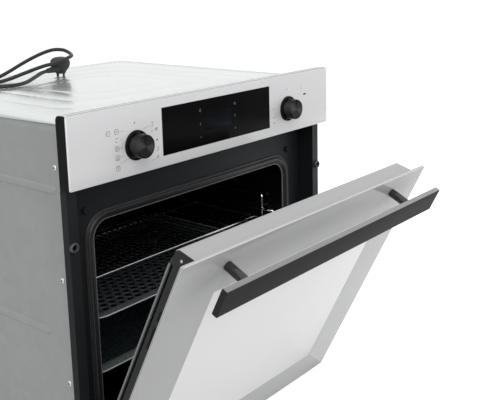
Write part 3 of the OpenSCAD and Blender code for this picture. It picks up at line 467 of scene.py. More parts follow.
def spun_highlight_effect():
    """Turned metal: the mask is four soft wedges about the Y axis, a painted highlight; the height is fine
    rings round it.
    """
    tree, given, out = effect("spun_rings_and_highlight", Scale=2500.0)
    xyz = node(tree, "SeparateXYZ", {0: given.outputs["Vector"]})
    angle = node(tree, "Math", {0: xyz.outputs[2], 1: xyz.outputs[0]}, operation="ARCTAN2")
    doubled = node(tree, "Math", {0: angle.outputs[0], 1: 2.0, 2: 0.6}, operation="MULTIPLY_ADD")
    wave = node(tree, "Math", {0: doubled.outputs[0]}, operation="COSINE")
    flat = node(tree, "VectorMath", {0: given.outputs["Vector"], 1: (1, 0, 1)}, operation="MULTIPLY")
    radius = node(tree, "VectorMath", {0: flat.outputs[0]}, operation="LENGTH")
    ring = node(tree, "CombineXYZ", {0: radius.outputs["Value"]})
    links = {"Vector": ring.outputs[0], "Scale": given.outputs["Scale"], "Detail": 2.0}
    noise = node(tree, "TexNoise", links)
    streak = node(tree, "Math", {0: wave.outputs[0], 1: noise.outputs[0]}, operation="MULTIPLY")
    tree.links.new(sharpened(tree, streak.outputs[0], 0.05, 0.6), out.inputs["Mask"])
    tree.links.new(noise.outputs[0], out.inputs["Height"])
    return tree


zinc_spangle, spun_rings_and_highlight = spangle_effect(), spun_highlight_effect()
print(len(bpy.data.node_groups), "effects")

# %% [markdown]
# ## Finishes
#
# A finish starts from one colour and one roughness. Each layer on top of it names an effect, a size,
# the tint that its mask mixes in, how strongly, how much rougher it makes the surface, and how high
# its relief is in metres. Fixed numbers, such as metallic or transmission, go on the shader itself.

# %% The finish builder
SHADER_NAMES = {"metal": "Metallic", "specular": "Specular IOR Level", "clear": "Transmission Weight",
                "ior": "IOR"}
UNTINTED = (0.0, 0.0, 0.0)  # fills the tint's place in a layer whose share is 0


def finish(name, colour, rough, layers=(), centre=None, **fixed):
    """Colour and roughness, changed by each layer's mask, and a chain of bumps from the heights."""
    made = bpy.data.materials.new(name)
    made.use_nodes = True
    tree = made.node_tree
    shader = tree.nodes["Principled BSDF"]
    for key, value in fixed.items():
        shader.inputs[SHADER_NAMES[key]].default_value = value
    shader.inputs["Base Color"].default_value = (*colour, 1)
    shader.inputs["Roughness"].default_value = rough
    place = node(tree, "TexCoord").outputs["Object"]
    if centre is not None:
        place = node(tree, "VectorMath", {0: place, 1: tuple(centre)}, operation="SUBTRACT").outputs[0]
    paint, roughness, normal = None, None, None
    for group, size, tint, share, rougher, relief in layers:
        used = node(tree, "Group", node_tree=group)
        used.inputs["Scale"].default_value = size
        tree.links.new(place, used.inputs["Vector"])
        if share:
            part = node(tree, "Math", {0: used.outputs["Mask"], 1: share}, operation="MULTIPLY")
            mix = node(tree, "Mix", data_type="RGBA")
            mix.inputs[6].default_value = (*colour, 1)
            if paint:
                tree.links.new(paint, mix.inputs[6])
            mix.inputs[7].default_value = (*tint, 1)
            tree.links.new(part.outputs[0], mix.inputs[0])
            paint = mix.outputs[2]
        if rougher:
            links = {0: used.outputs["Mask"], 1: rougher, 2: roughness or rough}
            roughness = node(tree, "Math", links, operation="MULTIPLY_ADD", use_clamp=True).outputs[0]
        if relief:
            links = {"Height": used.outputs["Height"], "Distance": relief, "Strength": 1.0}
            bump = node(tree, "Bump", links)
            if normal:
                tree.links.new(normal, bump.inputs["Normal"])
            normal = bump.outputs[0]
    for source, target in ((paint, "Base Color"), (roughness, "Roughness"), (normal, "Normal")):
        if source:
            tree.links.new(source, shader.inputs[target])
    return made


def smudged(strength=0.05, size=9.0):
    """The faint clouds that wiping leaves on a smooth surface."""
    return (cloudiness, size, UNTINTED, 0.0, strength, 0.0)


# %% [markdown]
# The oven has three families of surface. Zinc-coated sheet is cool and slightly flecked, with a darker
# copy of it as painted shade on the sides. The front is white glass, painted behind and so smooth that
# only its reflections show it. Everything that gets hot or is meant not to be seen is black: paint,
# enamel, rubber and anodised aluminium differ mostly in how sharply they reflect, and some of them
# carry painted light and shade in lighter and darker copies.

# %% Sheet metal, screws and wire
zinc_top = finish("zinc_top_sheet", (0.71, 0.745, 0.74), 0.17, metal=0.7, layers=[
    (zinc_spangle, 45.0, (0.67, 0.71, 0.705), 0.2, 0.03, 0.0),
    (cloudiness, 7.0, (0.685, 0.72, 0.715), 0.4, 0.08, 0.0),
    (fine_grain, 900.0, UNTINTED, 0.0, 0.0, 0.00001)])
# The same zinc sheet as the top, painted darker: painted shade for the sides and the other sheets that face
# away from the light.
zinc_side_shade = finish("zinc_sheet_painted_shade", (0.345, 0.354, 0.35), 0.42, metal=0.25, layers=[
    (zinc_spangle, 55.0, (0.285, 0.293, 0.29), 0.6, 0.1, 0.0),
    (cloudiness, 5.0, (0.385, 0.392, 0.39), 0.5, 0.08, 0.0),
    (fine_grain, 900.0, UNTINTED, 0.0, 0.0, 0.00001)])
screw_steel = finish("screw_steel", (0.78, 0.78, 0.77), 0.22, metal=1.0, layers=[
    (fine_grain, 1500.0, (0.6, 0.6, 0.6), 0.5, 0.15, 0.00001)])
hinge_zinc = finish("hinge_zinc", (0.55, 0.55, 0.53), 0.35, metal=0.9, layers=[
    (brushed_y, 900.0, (0.4, 0.4, 0.39), 0.5, 0.15, 0.00002)])
chrome = finish("chrome_wire", (0.86, 0.86, 0.87), 0.09, metal=1.0, layers=[
    (cloudiness, 60.0, (0.7, 0.7, 0.7), 0.3, 0.1, 0.0)])
motor_sheet = finish("motor_sheet", (0.36, 0.36, 0.37), 0.35, metal=0.8, layers=[
    (brushed_x, 700.0, (0.28, 0.28, 0.29), 0.6, 0.15, 0.00001)])
sheath = finish("element_sheath", (0.12, 0.115, 0.11), 0.5, metal=0.5, layers=[
    (cloudiness, 70.0, (0.07, 0.06, 0.06), 0.7, 0.2, 0.00002)])

# %% Black paint, enamel, rubber and plastic
frame_paint = finish("frame_paint", (0.0125, 0.0145, 0.016), 0.38, specular=0.22, layers=[
    (fine_grain, 700.0, (0.018, 0.0205, 0.022), 0.5, 0.08, 0.00001), smudged(0.1)])
stem_metal = finish("stem_metal", (0.075, 0.075, 0.076), 0.17, metal=0.9, layers=[
    (brushed_y, 1300.0, (0.09, 0.09, 0.091), 0.6, 0.06, 0.00001)])
# The handle's top is black anodised like the rest; this light grey is a painted highlight, the reflection of
# the light from above.
handle_top_highlight = finish("handle_top_painted_highlight", (0.25, 0.25, 0.248), 0.3, specular=0.4, layers=[
    (brushed_x, 1500.0, (0.17, 0.17, 0.169), 0.6, 0.1, 0.00001)])
knob_metal = finish("knob_metal", (0.030, 0.030, 0.031), 0.34, metal=0.75, layers=[
    (brushed_y, 1300.0, (0.03, 0.03, 0.031), 0.6, 0.1, 0.00001)])
socket_steel = finish("socket_steel", (0.09, 0.092, 0.095), 0.3, metal=0.4, layers=[
    (fine_grain, 900.0, (0.06, 0.062, 0.064), 0.6, 0.1, 0.00001)])
shelf_chrome = finish("shelf_chrome", (0.62, 0.62, 0.63), 0.16, metal=1.0, layers=[
    (cloudiness, 80.0, (0.4, 0.4, 0.41), 0.6, 0.1, 0.0)])
dull_wire = finish("dull_chrome", (0.30, 0.305, 0.31), 0.22, metal=1.0, layers=[
    (cloudiness, 60.0, (0.2, 0.2, 0.205), 0.5, 0.1, 0.0)])
# The rolled rims are dark enamel; this light grey is a painted highlight along their curve.
rim_highlight = finish("rim_painted_highlight", (0.62, 0.63, 0.63), 0.3, specular=0.5, layers=[
    (fine_grain, 400.0, (0.5, 0.51, 0.51), 0.5, 0.1, 0.00001)])
lip_paint = finish("lip_paint", (0.16, 0.163, 0.166), 0.3, specular=0.5, layers=[
    (fine_grain, 700.0, (0.2, 0.203, 0.206), 0.5, 0.05, 0.00001)])
enamel = finish("black_enamel", (0.0035, 0.004, 0.005), 0.16, specular=0.16, layers=[
    (fine_grain, 260.0, (0.008, 0.009, 0.011), 0.5, 0.06, 0.00003), smudged(0.08, 25.0)])
# Painted light and shade: the trays' enamel in lit and shaded copies, the wells darker and the flanges
# lighter.
well_painted_shade = finish("tray_well_painted_shade", (0.028, 0.038, 0.042), 0.24, specular=0.35, layers=[
    (fine_grain, 300.0, (0.036, 0.048, 0.053), 0.6, 0.06, 0.00003)])
margin_painted_light = finish("tray_margin_painted_light", (0.10, 0.114, 0.122), 0.26, specular=0.4, layers=[
    (fine_grain, 300.0, (0.13, 0.146, 0.155), 0.6, 0.06, 0.00003)])
tray_enamel = finish("tray_enamel", (0.052, 0.057, 0.063), 0.22, specular=0.5, layers=[
    (fine_grain, 300.0, (0.07, 0.077, 0.085), 0.6, 0.06, 0.00003), smudged(0.12, 20.0)])
black_plastic = finish("black_plastic", (0.005, 0.005, 0.0054), 0.42, specular=0.07, layers=[
    (fine_grain, 1200.0, (0.013, 0.013, 0.013), 0.4, 0.1, 0.00002)])
rubber = finish("soft_rubber", (0.010, 0.010, 0.0105), 0.6, specular=0.2, layers=[
    (fine_grain, 500.0, (0.018, 0.018, 0.018), 0.5, 0.1, 0.00003)])
plug_rubber = finish("plug_rubber", (0.026, 0.0262, 0.027), 0.5, specular=0.35, layers=[
    (fine_grain, 500.0, (0.045, 0.045, 0.046), 0.5, 0.1, 0.00003)])
gasket_rubber = finish("gasket_rubber", (0.017, 0.0168, 0.0165), 0.36, specular=0.55, layers=[
    (fine_grain, 350.0, (0.032, 0.0315, 0.031), 0.5, 0.1, 0.00003)])
cable_skin = finish("cable_skin", (0.010, 0.010, 0.011), 0.38, specular=0.4, layers=[
    (fine_grain, 600.0, (0.022, 0.022, 0.022), 0.5, 0.12, 0.00002)])
handle_finish = finish("handle_anodised", (0.027, 0.027, 0.0263), 0.45, specular=0.02, layers=[
    (brushed_x, 1500.0, (0.044, 0.044, 0.0432), 0.7, 0.08, 0.000008)])
# The deep tray's flange, painted much lighter than its well: painted light.
deep_margin_painted_light = finish("deep_tray_margin_painted_light", (0.14, 0.168, 0.166), 0.22, specular=0.5, layers=[
    (fine_grain, 300.0, (0.17, 0.205, 0.2), 0.6, 0.06, 0.00003), smudged(0.12, 20.0)])
tray_grey = finish("panel_tray", (0.66, 0.665, 0.67), 0.4, specular=0.3, layers=[
    (fine_grain, 700.0, (0.63, 0.635, 0.64), 0.5, 0.1, 0.00001)])
# Painted highlight for the inner pane's edge.
inner_edge_highlight = finish("inner_pane_edge", (0.19, 0.197, 0.197), 0.25, specular=0.5, layers=[
    (brushed_x, 500.0, (0.25, 0.257, 0.257), 0.6, 0.1, 0.0)])
profile_grey = finish("door_profile", (0.025, 0.0255, 0.0265), 0.4, specular=0.16, layers=[
    (fine_grain, 800.0, (0.032, 0.033, 0.034), 0.5, 0.1, 0.00001)])
cap_grey = finish("door_top_cap", (0.395, 0.395, 0.398), 0.4, specular=0.3, layers=[
    (brushed_x, 700.0, (0.36, 0.36, 0.363), 0.5, 0.1, 0.00001)])

# %% Glass, display and the parts inside
white_glass = finish("white_glass", (0.63, 0.63, 0.64), 0.07, specular=0.5, layers=[
    (cloudiness, 4.0, (0.60, 0.60, 0.61), 0.6, 0.04, 0.0)])
door_glass = finish("door_white_glass", (0.43, 0.432, 0.434), 0.08, specular=0.22, layers=[
    (cloudiness, 4.0, (0.385, 0.387, 0.39), 0.6, 0.04, 0.0)])
mirror_glass = finish("mirror_window", (0.77, 0.773, 0.773), 0.12, specular=0.15, layers=[
    (cloudiness, 3.0, (0.755, 0.758, 0.758), 0.7, 0.03, 0.0)])
# Painted highlights: light strips for glass edges that catch the light.
pane_edge_highlight = finish("polished_edge_highlight", (0.58, 0.59, 0.588), 0.15, specular=0.4, layers=[
    (brushed_x, 400.0, (0.52, 0.53, 0.528), 0.5, 0.1, 0.0)])
# Painted highlight for the panel glass's side edges.
glass_edge_highlight = finish("glass_edge_painted_highlight", (0.86, 0.87, 0.87), 0.15, specular=0.4, layers=[
    (brushed_x, 400.0, (0.8, 0.81, 0.81), 0.5, 0.1, 0.0)])
clear_glass = finish("clear_glass", (0.95, 0.98, 0.97), 0.03, clear=1.0, ior=1.45, layers=[
    (cloudiness, 6.0, (0.9, 0.93, 0.92), 0.5, 0.05, 0.0)])
dark_glass = finish("inner_glass_print", (0.012, 0.013, 0.015), 0.08, specular=0.5, layers=[
    (cloudiness, 8.0, (0.02, 0.021, 0.023), 0.5, 0.05, 0.0)])
display_black = finish("display_black", (0.0035, 0.0036, 0.0038), 0.1, specular=0.025, layers=[
    (cloudiness, 20.0, (0.0045, 0.0045, 0.005), 0.5, 0.05, 0.0)])
display_field = finish("display_field", (0.0035, 0.0042, 0.0068), 0.12, specular=0.03, layers=[
    (fine_grain, 500.0, (0.0048, 0.0054, 0.0085), 0.5, 0.05, 0.0)])
printed_grey = finish("printed_grey", (0.10, 0.10, 0.103), 0.4, layers=[
    (fine_grain, 2000.0, (0.15, 0.15, 0.153), 0.6, 0.1, 0.0)])
printed_light = finish("printed_light", (0.10, 0.104, 0.112), 0.4, layers=[
    (fine_grain, 2000.0, (0.07, 0.073, 0.08), 0.6, 0.1, 0.0)])
glass_wool = finish("glass_wool", (0.74, 0.66, 0.36), 0.95, layers=[
    (fine_grain, 220.0, (0.5, 0.42, 0.2), 0.7, 0.0, 0.0012)])
board_green = finish("circuit_board", (0.02, 0.09, 0.035), 0.45, layers=[
    (brushed_x, 250.0, (0.05, 0.16, 0.06), 0.6, 0.1, 0.0)])
print(len(bpy.data.materials), "finishes")

# %% [markdown]
# ## The mains lead
#
# The lead leaves the back of the casing, climbs over its rear edge and lies on the top. The length
# that would be put away is wound in a coil at the left, and the rest runs to the plug, which lies on
# its pins near the front. The route is a smooth curve through a few dozen places, and the
# coil is a spiral: the angle turns steadily while the radius shrinks and then grows again.

# %% Route of the lead
LEAD = 7 * MM
lead_exit = np.array([-155, 287.5, 520]) * MM
rear_run = np.array([
    [-155, 287.5, 520], [-155, 296, 520.4], [-155, 306, 524], [-155, 315, 531], [-155, 321, 542],
    [-155, 323, 556], [-155, 320, 572], [-155, 311, 586], [-155, 297, 594], [-155, 281, 597],
    [-155, 264, 596], [-155, 248, 592], [-155, 233, 587.5], [-155, 217, 584.4], [-155, 200, 583.8],
    [-155, 180, 583.8]])
front_run = np.array([
    [-180, 199.5, 590.9], [-155, 200, 591.2], [-130, 201, 588], [-105, 202, 584.4],
    [-80, 203, 586], [-55, 202, 594], [-28, 200, 605.5], [0, 199, 616], [28, 199, 624], [49, 195, 628],
    [62, 184, 627], [65, 171, 623], [61, 157, 619.5], [52, 145, 618], [38, 138, 616], [22, 136, 612.5],
    [5, 137.5, 608.5], [-14, 141, 606], [-36, 145, 601], [-60, 150, 594.5], [-82, 156, 588],
    [-101, 160, 584.6], [-120, 158.5, 583.8], [-136, 149, 583.8], [-143, 132, 583.8], [-137, 115, 583.8],
    [-121, 104, 583.8], [-100, 102.5, 583.9], [-76, 110, 585.6], [-52, 122, 589.6], [-28, 134.2, 594],
    [-8.6, 142.7, 595.5]])


def coil_run(centre=(-200, 156), start_z=583.8, lift=7.0):
    """Clockwise: two turns while the radius goes from 45 to 31, then three quarters of a turn
    outwards to 43, one lead's thickness higher."""
    inward = np.arange(0, 2, 1 / 16)
    outward_turn = np.arange(0, 12.5) / 16
    turn = np.concatenate([inward, 2 + outward_turn])
    radius = np.concatenate([45 - 7 * inward, 31 + 16 * outward_turn])
    height = start_z + lift * np.clip((turn - 1.75) / 0.5, 0, 1)
    angle = -2 * math.pi * turn
    return np.stack([centre[0] + radius * np.cos(angle), centre[1] + radius * np.sin(angle), height], -1)


def smooth_through(points, between=5):
    """Catmull-Rom: between two places the curve is a cubic whose slopes come from their neighbours."""
    p = np.concatenate([2 * points[:1] - points[1:2], points, 2 * points[-1:] - points[-2:-1]])
    t = np.linspace(0, 1, between, endpoint=False)[None, :, None]
    a, b, c, d = (p[i:len(p) - 3 + i, None] for i in range(4))
    curve = 0.5 * (2 * b + (c - a) * t + (2 * a - 5 * b + 4 * c - d) * t**2 + (3 * b - a - 3 * c + d) * t**3)
    return np.concatenate([curve.reshape(-1, 3), points[-1:]])


route = smooth_through(np.concatenate([rear_run, coil_run(), front_run]) * MM)

# %% The lead as a curve
curve = bpy.data.curves.new("mains_lead", "CURVE")
curve.dimensions = "3D"
spline = curve.splines.new("POLY")
spline.points.add(len(route) - 1)
spline.points.foreach_set("co", np.concatenate([route, np.ones((len(route), 1))], 1).ravel())
spline.use_smooth = True
curve.bevel_depth = LEAD / 2
curve.bevel_resolution = 3
curve.use_fill_caps = True
curve.materials.append(cable_skin)
mains_lead = bpy.data.objects.new("mains_lead", curve)
bpy.context.scene.collection.objects.link(mains_lead)
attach(mains_lead, "cabinet")
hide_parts("cord_rear", "cord_coil", "cord_front")

# %% [markdown]
# The plug is a round moulding with a waist for the fingers, and its neck carries rubber ribs that
# keep the lead from kinking. It is a profile of radius against height, with the two pins below.
# The neck is the same idea laid on its side: every second ring is wider than its neighbours.

# %% Plug, its neck and the coil's tie
plug_low, plug_high = box_of("power_plug")
plug_at = np.array([36, 160.5, 0]) * MM
NECK_Z, GRIP_Z = 595.5 * MM, 603.5 * MM
moulding = [(3, 585), (8.4, 585), (9.4, 585.6), (10.2, 588), (12.6, 591.2), (15.6, 594.8), (17.8, 598.8),
            (18.9, 603), (18.9, 607), (17.8, 610.6), (15.2, 613.8), (11, 616), (6, 617), (1.5, 617)]
plug_body = turned(np.array(moulding) * MM, plug_at, "z", 56)
pin = [(1.2, 580), (2.0, 580.5), (2.4, 581.6), (2.4, 590)]
pin_turn = math.radians(17)
pin_offset = 9.5 * MM * np.array([math.cos(pin_turn), math.sin(pin_turn), 0])
pins = joined(*(turned(np.array(pin) * MM, plug_at + s * pin_offset, "z", 20) for s in (-1, 1)))
neck_angle = math.radians(180 + 21.8)
neck_way = np.array([math.cos(neck_angle), math.sin(neck_angle), 0])


def ribbed_neck(start, way, profile, steps=28):
    """Rings about a straight line: radius against distance along it."""
    profile = np.asarray(profile, float) * MM
    side = np.cross(way, (0, 0, 1))
    side /= np.linalg.norm(side)
    over = np.cross(side, way)
    t = np.linspace(0, 2 * math.pi, steps, endpoint=False)
    round_part = np.cos(t)[:, None] * side + np.sin(t)[:, None] * over
    grid = start + profile[:, 1, None, None] * np.asarray(way) + profile[:, 0, None, None] * round_part
    return solid(grid)


ribs = [(6.8, 8), (6.8, 18.5), (6.2, 19.5)]
for i in range(7):
    at, r = 20.0 + 3.8 * i, 6.4 - 0.3 * i
    ribs += [(r - 1.0, at), (r - 1.0, at + 1.1), (r, at + 1.5), (r, at + 3.2)]
ribs += [(4.2, 47.2), (3.6, 48.2)]
neck = ribbed_neck(plug_at + np.array([0, 0, NECK_Z]), neck_way, ribs)
step = [(8.2, 3), (8.2, 17.5), (7.4, 18.4), (5.8, 18.8), (5.8, 23.4), (5.0, 24.2), (3.4, 24.6), (3.4, 28),
        (2, 28.6)]
grip_step = ribbed_neck(plug_at + np.array([0, 0, GRIP_Z]), neck_way, step)
plug = make("plug_moulding", joined(plug_body, neck, grip_step), plug_rubber, "cabinet",
            ("power_plug",))
plug_pins = make("plug_contacts", pins, knob_metal, "cabinet")
tie_at = np.array([-238, 156, 588.1]) * MM
tie_path = laid(rounded_outline(26, 15.4, 5.5) * MM, 0.0, "x") + tie_at
tie_strip = np.array([[0, -2], [0, 2], [0.9, 2], [0.9, -2]]) * MM
tie = make("coil_tie", swept(tie_path, tie_strip, (1, 0, 0), True), rubber, "cabinet")
gland = [(12, 544.8), (12, 548), (8.4, 549), (8.0, 552), (6.4, 552.6), (7.6, 555), (6.0, 555.6),
         (7.2, 558), (5.6, 558.6), (6.8, 561), (5.2, 561.6), (6.2, 564), (4.8, 564.6), (5.4, 568), (4.2, 571)]
gland_at = (lead_exit[0], front_y, lead_exit[2])
make("lead_strain_relief", turned(np.array(gland) * MM, gland_at, "y", 40), black_plastic, "cabinet",
     ("cord_gland",))
print("plug", (plug_low / MM).round(1), "to", (plug_high / MM).round(1))

# %% [markdown]
# ## The pressed top cover
#
# The cover is one sheet. Shallow channels are pressed into it as rounded rectangles inside each
# other, and its rim is folded down over the sides. So the grid runs the same way: each row is a
# rounded rectangle, each a little smaller than the last, and only its height changes. The fold is
# shorter at the front, where the control panel stands before it.

# %% Top cover
mid_y = (casing_low[1] + casing_high[1]) / 2
deep = casing_high[1] - casing_low[1]
wide = casing_high[0] - casing_low[0]
top_z = casing_high[2]


CHANNEL_WIDTH, CHANNEL_DEPTH = 11, 0.5
FOLD_AT_SIDES, FOLD_AT_FRONT = 12, 1.4


def channel(outer, steps=6):
    """Rows of one pressed channel: the depth follows the sine of the way across, to the power 1.5."""
    t = np.linspace(0, 1, steps + 1)
    depth = CHANNEL_DEPTH * np.sin(math.pi * t) ** 1.5
    return [(outer + CHANNEL_WIDTH * a, -d, 74 - 0.12 * outer - 6 * a) for a, d in zip(t, depth)]


cover_rows = [(-0.9, -FOLD_AT_SIDES, 2.4), (-0.9, -1.6, 2.4), (-0.45, -0.4, 2.0), (0.4, 0, 1.6),
              (30, 0, 20), (62, 0, 60)]
for place in (68, 120, 172):
    cover_rows += channel(place)
cover_rows += [(200, 0, 40), (215, 0, 30)]
cover = []
for inset, height, r in np.array(cover_rows) * MM:
    outline = rounded_outline(wide - 2 * inset, deep - 2 * inset, r, 14)
    row = laid(outline + [0, mid_y], top_z + height, "z")
    if height < -2 * MM:
        at_front = np.clip((casing_low[1] + 6 * MM - row[:, 1]) / (5 * MM), 0, 1)
        row[:, 2] += at_front * (FOLD_AT_SIDES - FOLD_AT_FRONT) * MM
    cover.append(row)
sheet = ring_sheet(np.array(cover), floor=True)
top = make("pressed_top_cover", sheet, zinc_top, "cabinet", ("top_cover",), 50,
           closed=False)
thickened(top, 0.7 * MM)
print("top cover with", len(sheet[1]), "faces")

# %% [markdown]
# ## Side sheets
#
# Each side has long beads that stiffen it: a strip that stands out 3 mm and ends in a half circle.
# The height of the sheet is a smooth step of the distance to that shape, so the bead needs grid
# lines only along its rim. The lower front corner is notched for the hinge.

# %% Side sheets
BEAD_HEIGHT, BEAD_RISE, BEAD_INSET = 3.0, 3.6, 1.6
NOTCH_DEPTH, NOTCH_HEIGHT = 50, 40
beads = [(54, 520, 477, 490), (90, 520, 262, 275), (90, 520, 66, 79)]


def bead_height(y, z):
    """The full height inside a bead and 0 outside, with a smooth rise round its rim."""
    height = np.zeros_like(y)
    for y0, y1, z0, z1 in beads:
        distance = round_box_distance(y - (y0 + y1) / 2, z - (z0 + z1) / 2, (y1 - y0) / 2, (z1 - z0) / 2,
                                      (z1 - z0) / 2 - 0.01)
        height = np.maximum(height, BEAD_HEIGHT * step_up(distance + BEAD_INSET, BEAD_RISE))
    return height


y_lines = lines(21, 546, 15, [NOTCH_DEPTH] + [y for b in beads for y in (b[0] + 5, b[1] - 5)], 7, 1.0)
z_lines = lines(0, 578.4, 14, [NOTCH_HEIGHT] + [(b[2] + b[3]) / 2 for b in beads], 9, 0.75)
Y, Z = np.meshgrid(y_lines, z_lines, indexing="ij")
centre_y = (Y[:-1, :-1] + Y[1:, 1:]) / 2
centre_z = (Z[:-1, :-1] + Z[1:, 1:]) / 2
kept = ~((centre_y < NOTCH_DEPTH) & (centre_z < NOTCH_HEIGHT))
for side, name in ((-1, "left"), (1, "right")):
    X = side * (casing_high[0] / MM + bead_height(Y, Z))
    grid = np.stack([X, Y + front_y / MM, Z], -1) * MM
    points, faces = sheet_of(grid, kept)
    faces = [f[::-1] for f in faces] if side > 0 else faces
    skin = make(f"side_sheet_{name}", (points, faces), zinc_side_shade, "cabinet",
                (f"side_panel_{name}",), 40, closed=False)
    thickened(skin, 0.9 * MM)
print("side sheets of", len(faces), "faces each")

# %% Screws of the casing
SLOT_LONG, SLOT_SHORT, SLOT_DEEP = 2.1, 0.45, 0.8


def pan_screws(places, axis, r, rise, ways=None):
    """Domed heads, and black blocks for the crosses in them as painted shade of the recess: a head falls off
    as a circle's arc towards its rim.
    """
    t = np.linspace(0, 1, 6)
    profile = np.stack([r * np.sin(t[::-1] * math.pi / 2), rise * np.cos(t[::-1] * math.pi / 2)], -1)
    profile[-1, 0] = 0.3
    a, b, c = AXES[axis]
    heads, crosses = [], []
    for place, way in zip(places, ways or [1] * len(places)):
        heads.append(turned(profile * [1, way] * MM, np.asarray(place), axis, 24))
        # Each cross is a black block standing proud of the head: painted shade for the recess.
        for half_a, half_b in ((SLOT_SHORT, SLOT_LONG), (SLOT_LONG, SLOT_SHORT)):
            low, high = np.array(place, float), np.array(place, float)
            low[a] -= half_a * MM
            high[a] += half_a * MM
            low[b] -= half_b * MM
            high[b] += half_b * MM
            outer = place[c] + way * (rise + 0.06) * MM
            low[c], high[c] = sorted((place[c] + way * (rise - SLOT_DEEP) * MM, outer))
            crosses.append(block(low, high, 0.3 * MM, 0.02 * MM, axis, 2))
    return heads, crosses


SCREW_SPACE = 12 * MM
screw_points = mesh_points("casing_screws")
head_points = screw_points[np.abs(screw_points[:, 0]) > casing_high[0] + 1.5 * MM]
cells = np.unique((head_points / SCREW_SPACE).round().astype(int), axis=0)
spots = []
for cell in cells:
    near = head_points[np.linalg.norm(head_points - cell * SCREW_SPACE, axis=1) < 14 * MM]
    middle = (near.min(0) + near.max(0)) / 2
    if not any(np.linalg.norm(middle - s) < SCREW_SPACE for s in spots):
        spots.append(middle)
places = [np.array([math.copysign(casing_high[0], s[0]), s[1], s[2]]) for s in spots]
ways = [1 if s[0] > 0 else -1 for s in spots]
heads, crosses = pan_screws(places, "x", 4.0, 2.0, ways)
make("casing_screw_heads", joined(*heads), screw_steel, "cabinet", ("casing_screws",))
make("casing_screw_cross_shades", joined(*crosses), black_plastic, "cabinet")
print(len(places), "casing screws")

back_y = box_of("back_panel")[1][1] / MM
rear_places = [np.array([x, back_y, z]) * MM for x in (-268, -90, 90, 268) for z in (10, 566)]
rear_places += [np.array([x, back_y, 290]) * MM for x in (-268, 268)]
heads, crosses = pan_screws(rear_places, "y", 3.6, 1.6)
make("rear_screw_heads", joined(*heads), screw_steel, "cabinet")
make("rear_screw_cross_shades", joined(*crosses), black_plastic, "cabinet")

# %% [markdown]
# ## The control panel
#
# The panel is a slab of glass with polished edges in front of a light tray, and a black cap closes
# each end. In section the cap's top rear corner is rounded. The display is a black plate in the
# glass, with a slightly bluish field in its middle that carries a few touch symbols.

# %% Glass, tray and end caps
glass_low, glass_high = box_of("fascia_glass")
panel_high = box_of("fascia_frame")[1]
GLASS_REACH = 2.2 * MM
face_low, face_high = glass_low - [GLASS_REACH, 0, 0], glass_high + [GLASS_REACH, 0, 0]
glass = block(face_low, face_high, 3 * MM, 0.5 * MM, "y")
make("panel_glass", glass, white_glass, "cabinet", ("fascia_glass",))
tray_low = np.array([glass_low[0] + 0.2 * MM, glass_high[1] + 1.3 * MM, glass_low[2] + 1.2 * MM])
tray_high = np.array([glass_high[0] - 0.2 * MM, panel_high[1], glass_high[2] - 0.15 * MM])
make("panel_tray", block(tray_low, tray_high, 1 * MM, 0.5 * MM, "x", 3), tray_grey, "cabinet",
     ("fascia_frame",))
bond_low = glass_low + np.array([1, 3.9, 1]) * MM
bond_high = glass_high + np.array([-1, 1.5, -0.9]) * MM
make("panel_bond", block(bond_low, bond_high, 1 * MM, 0.1 * MM, "y", 3), black_plastic, "cabinet")
# Three thin grey lines on the panel's top: the first, along the glass's front edge, is painted edge shade;
# the second lies on the joint between glass and tray, the third across the tray.
seams_and_edge_shade = []
for y0, y1 in ((0.3, 1.7), (4.1, 5.1), (11.7, 13.1)):
    low = [tray_low[0] + 2 * MM, front_y + y0 * MM, tray_high[2] - 1 * MM]
    high = [tray_high[0] - 2 * MM, front_y + y1 * MM, glass_high[2] + 0.03 * MM]
    seams_and_edge_shade.append(block(low, high, 0.2 * MM, 0.02 * MM, "z", 2))
make("panel_seams_and_edge_shade", joined(*seams_and_edge_shade), printed_grey, "cabinet")
# Light lines on the glass's front face by its side edges: painted highlights of the rounded edges.
edge_highlights = []
for side in (-1, 1):
    x0, x1 = on_side(side, face_high[0] - 0.2 * MM, face_high[0] - 1.9 * MM)
    low = [x0, front_y - 0.02 * MM, glass_low[2] + 2 * MM]
    high = [x1, front_y + 0.5 * MM, glass_high[2] - 2 * MM]
    edge_highlights.append(block(low, high, 0.3 * MM, 0.01 * MM, "y", 2))
make("panel_edge_highlights", joined(*edge_highlights), glass_edge_highlight, "cabinet")
CAP_FOOT, CAP_HEAD, CAP_REAR = 494.3, 594.7, 20


def cap_outline(front):
    """The cap seen from its side, from a given depth to the rear of the panel."""
    corners = [[front, CAP_FOOT], [front, CAP_HEAD], [CAP_REAR, CAP_HEAD], [CAP_REAR, CAP_FOOT]]
    return filleted(np.array(corners) * MM, np.array([1, 1, 7, 1]) * MM) + [front_y, 0]


for side, name in ((-1, "left"), (1, "right")):
    skirt = on_side(side, face_high[0], panel_high[0])
    core = on_side(side, glass_high[0], face_high[0] + 0.1 * MM)
    shapes = [bar(cap_outline(0.9), *skirt, "x"), bar(cap_outline(4.1), *core, "x")]
    cap = make("panel_end_" + name, joined(*shapes), black_plastic, "cabinet")
    bevelled(cap, 0.25 * MM)
shown_low, shown_high = box_of("display_window")
shown_low[1] -= 0.12 * MM
make("display_plate", block(shown_low, shown_high, 0.8 * MM, 0.08 * MM, "y", 3), display_black, "cabinet",
     ("display_window",))
print("panel glass", ((glass_high - glass_low) / MM).round(1), "mm")
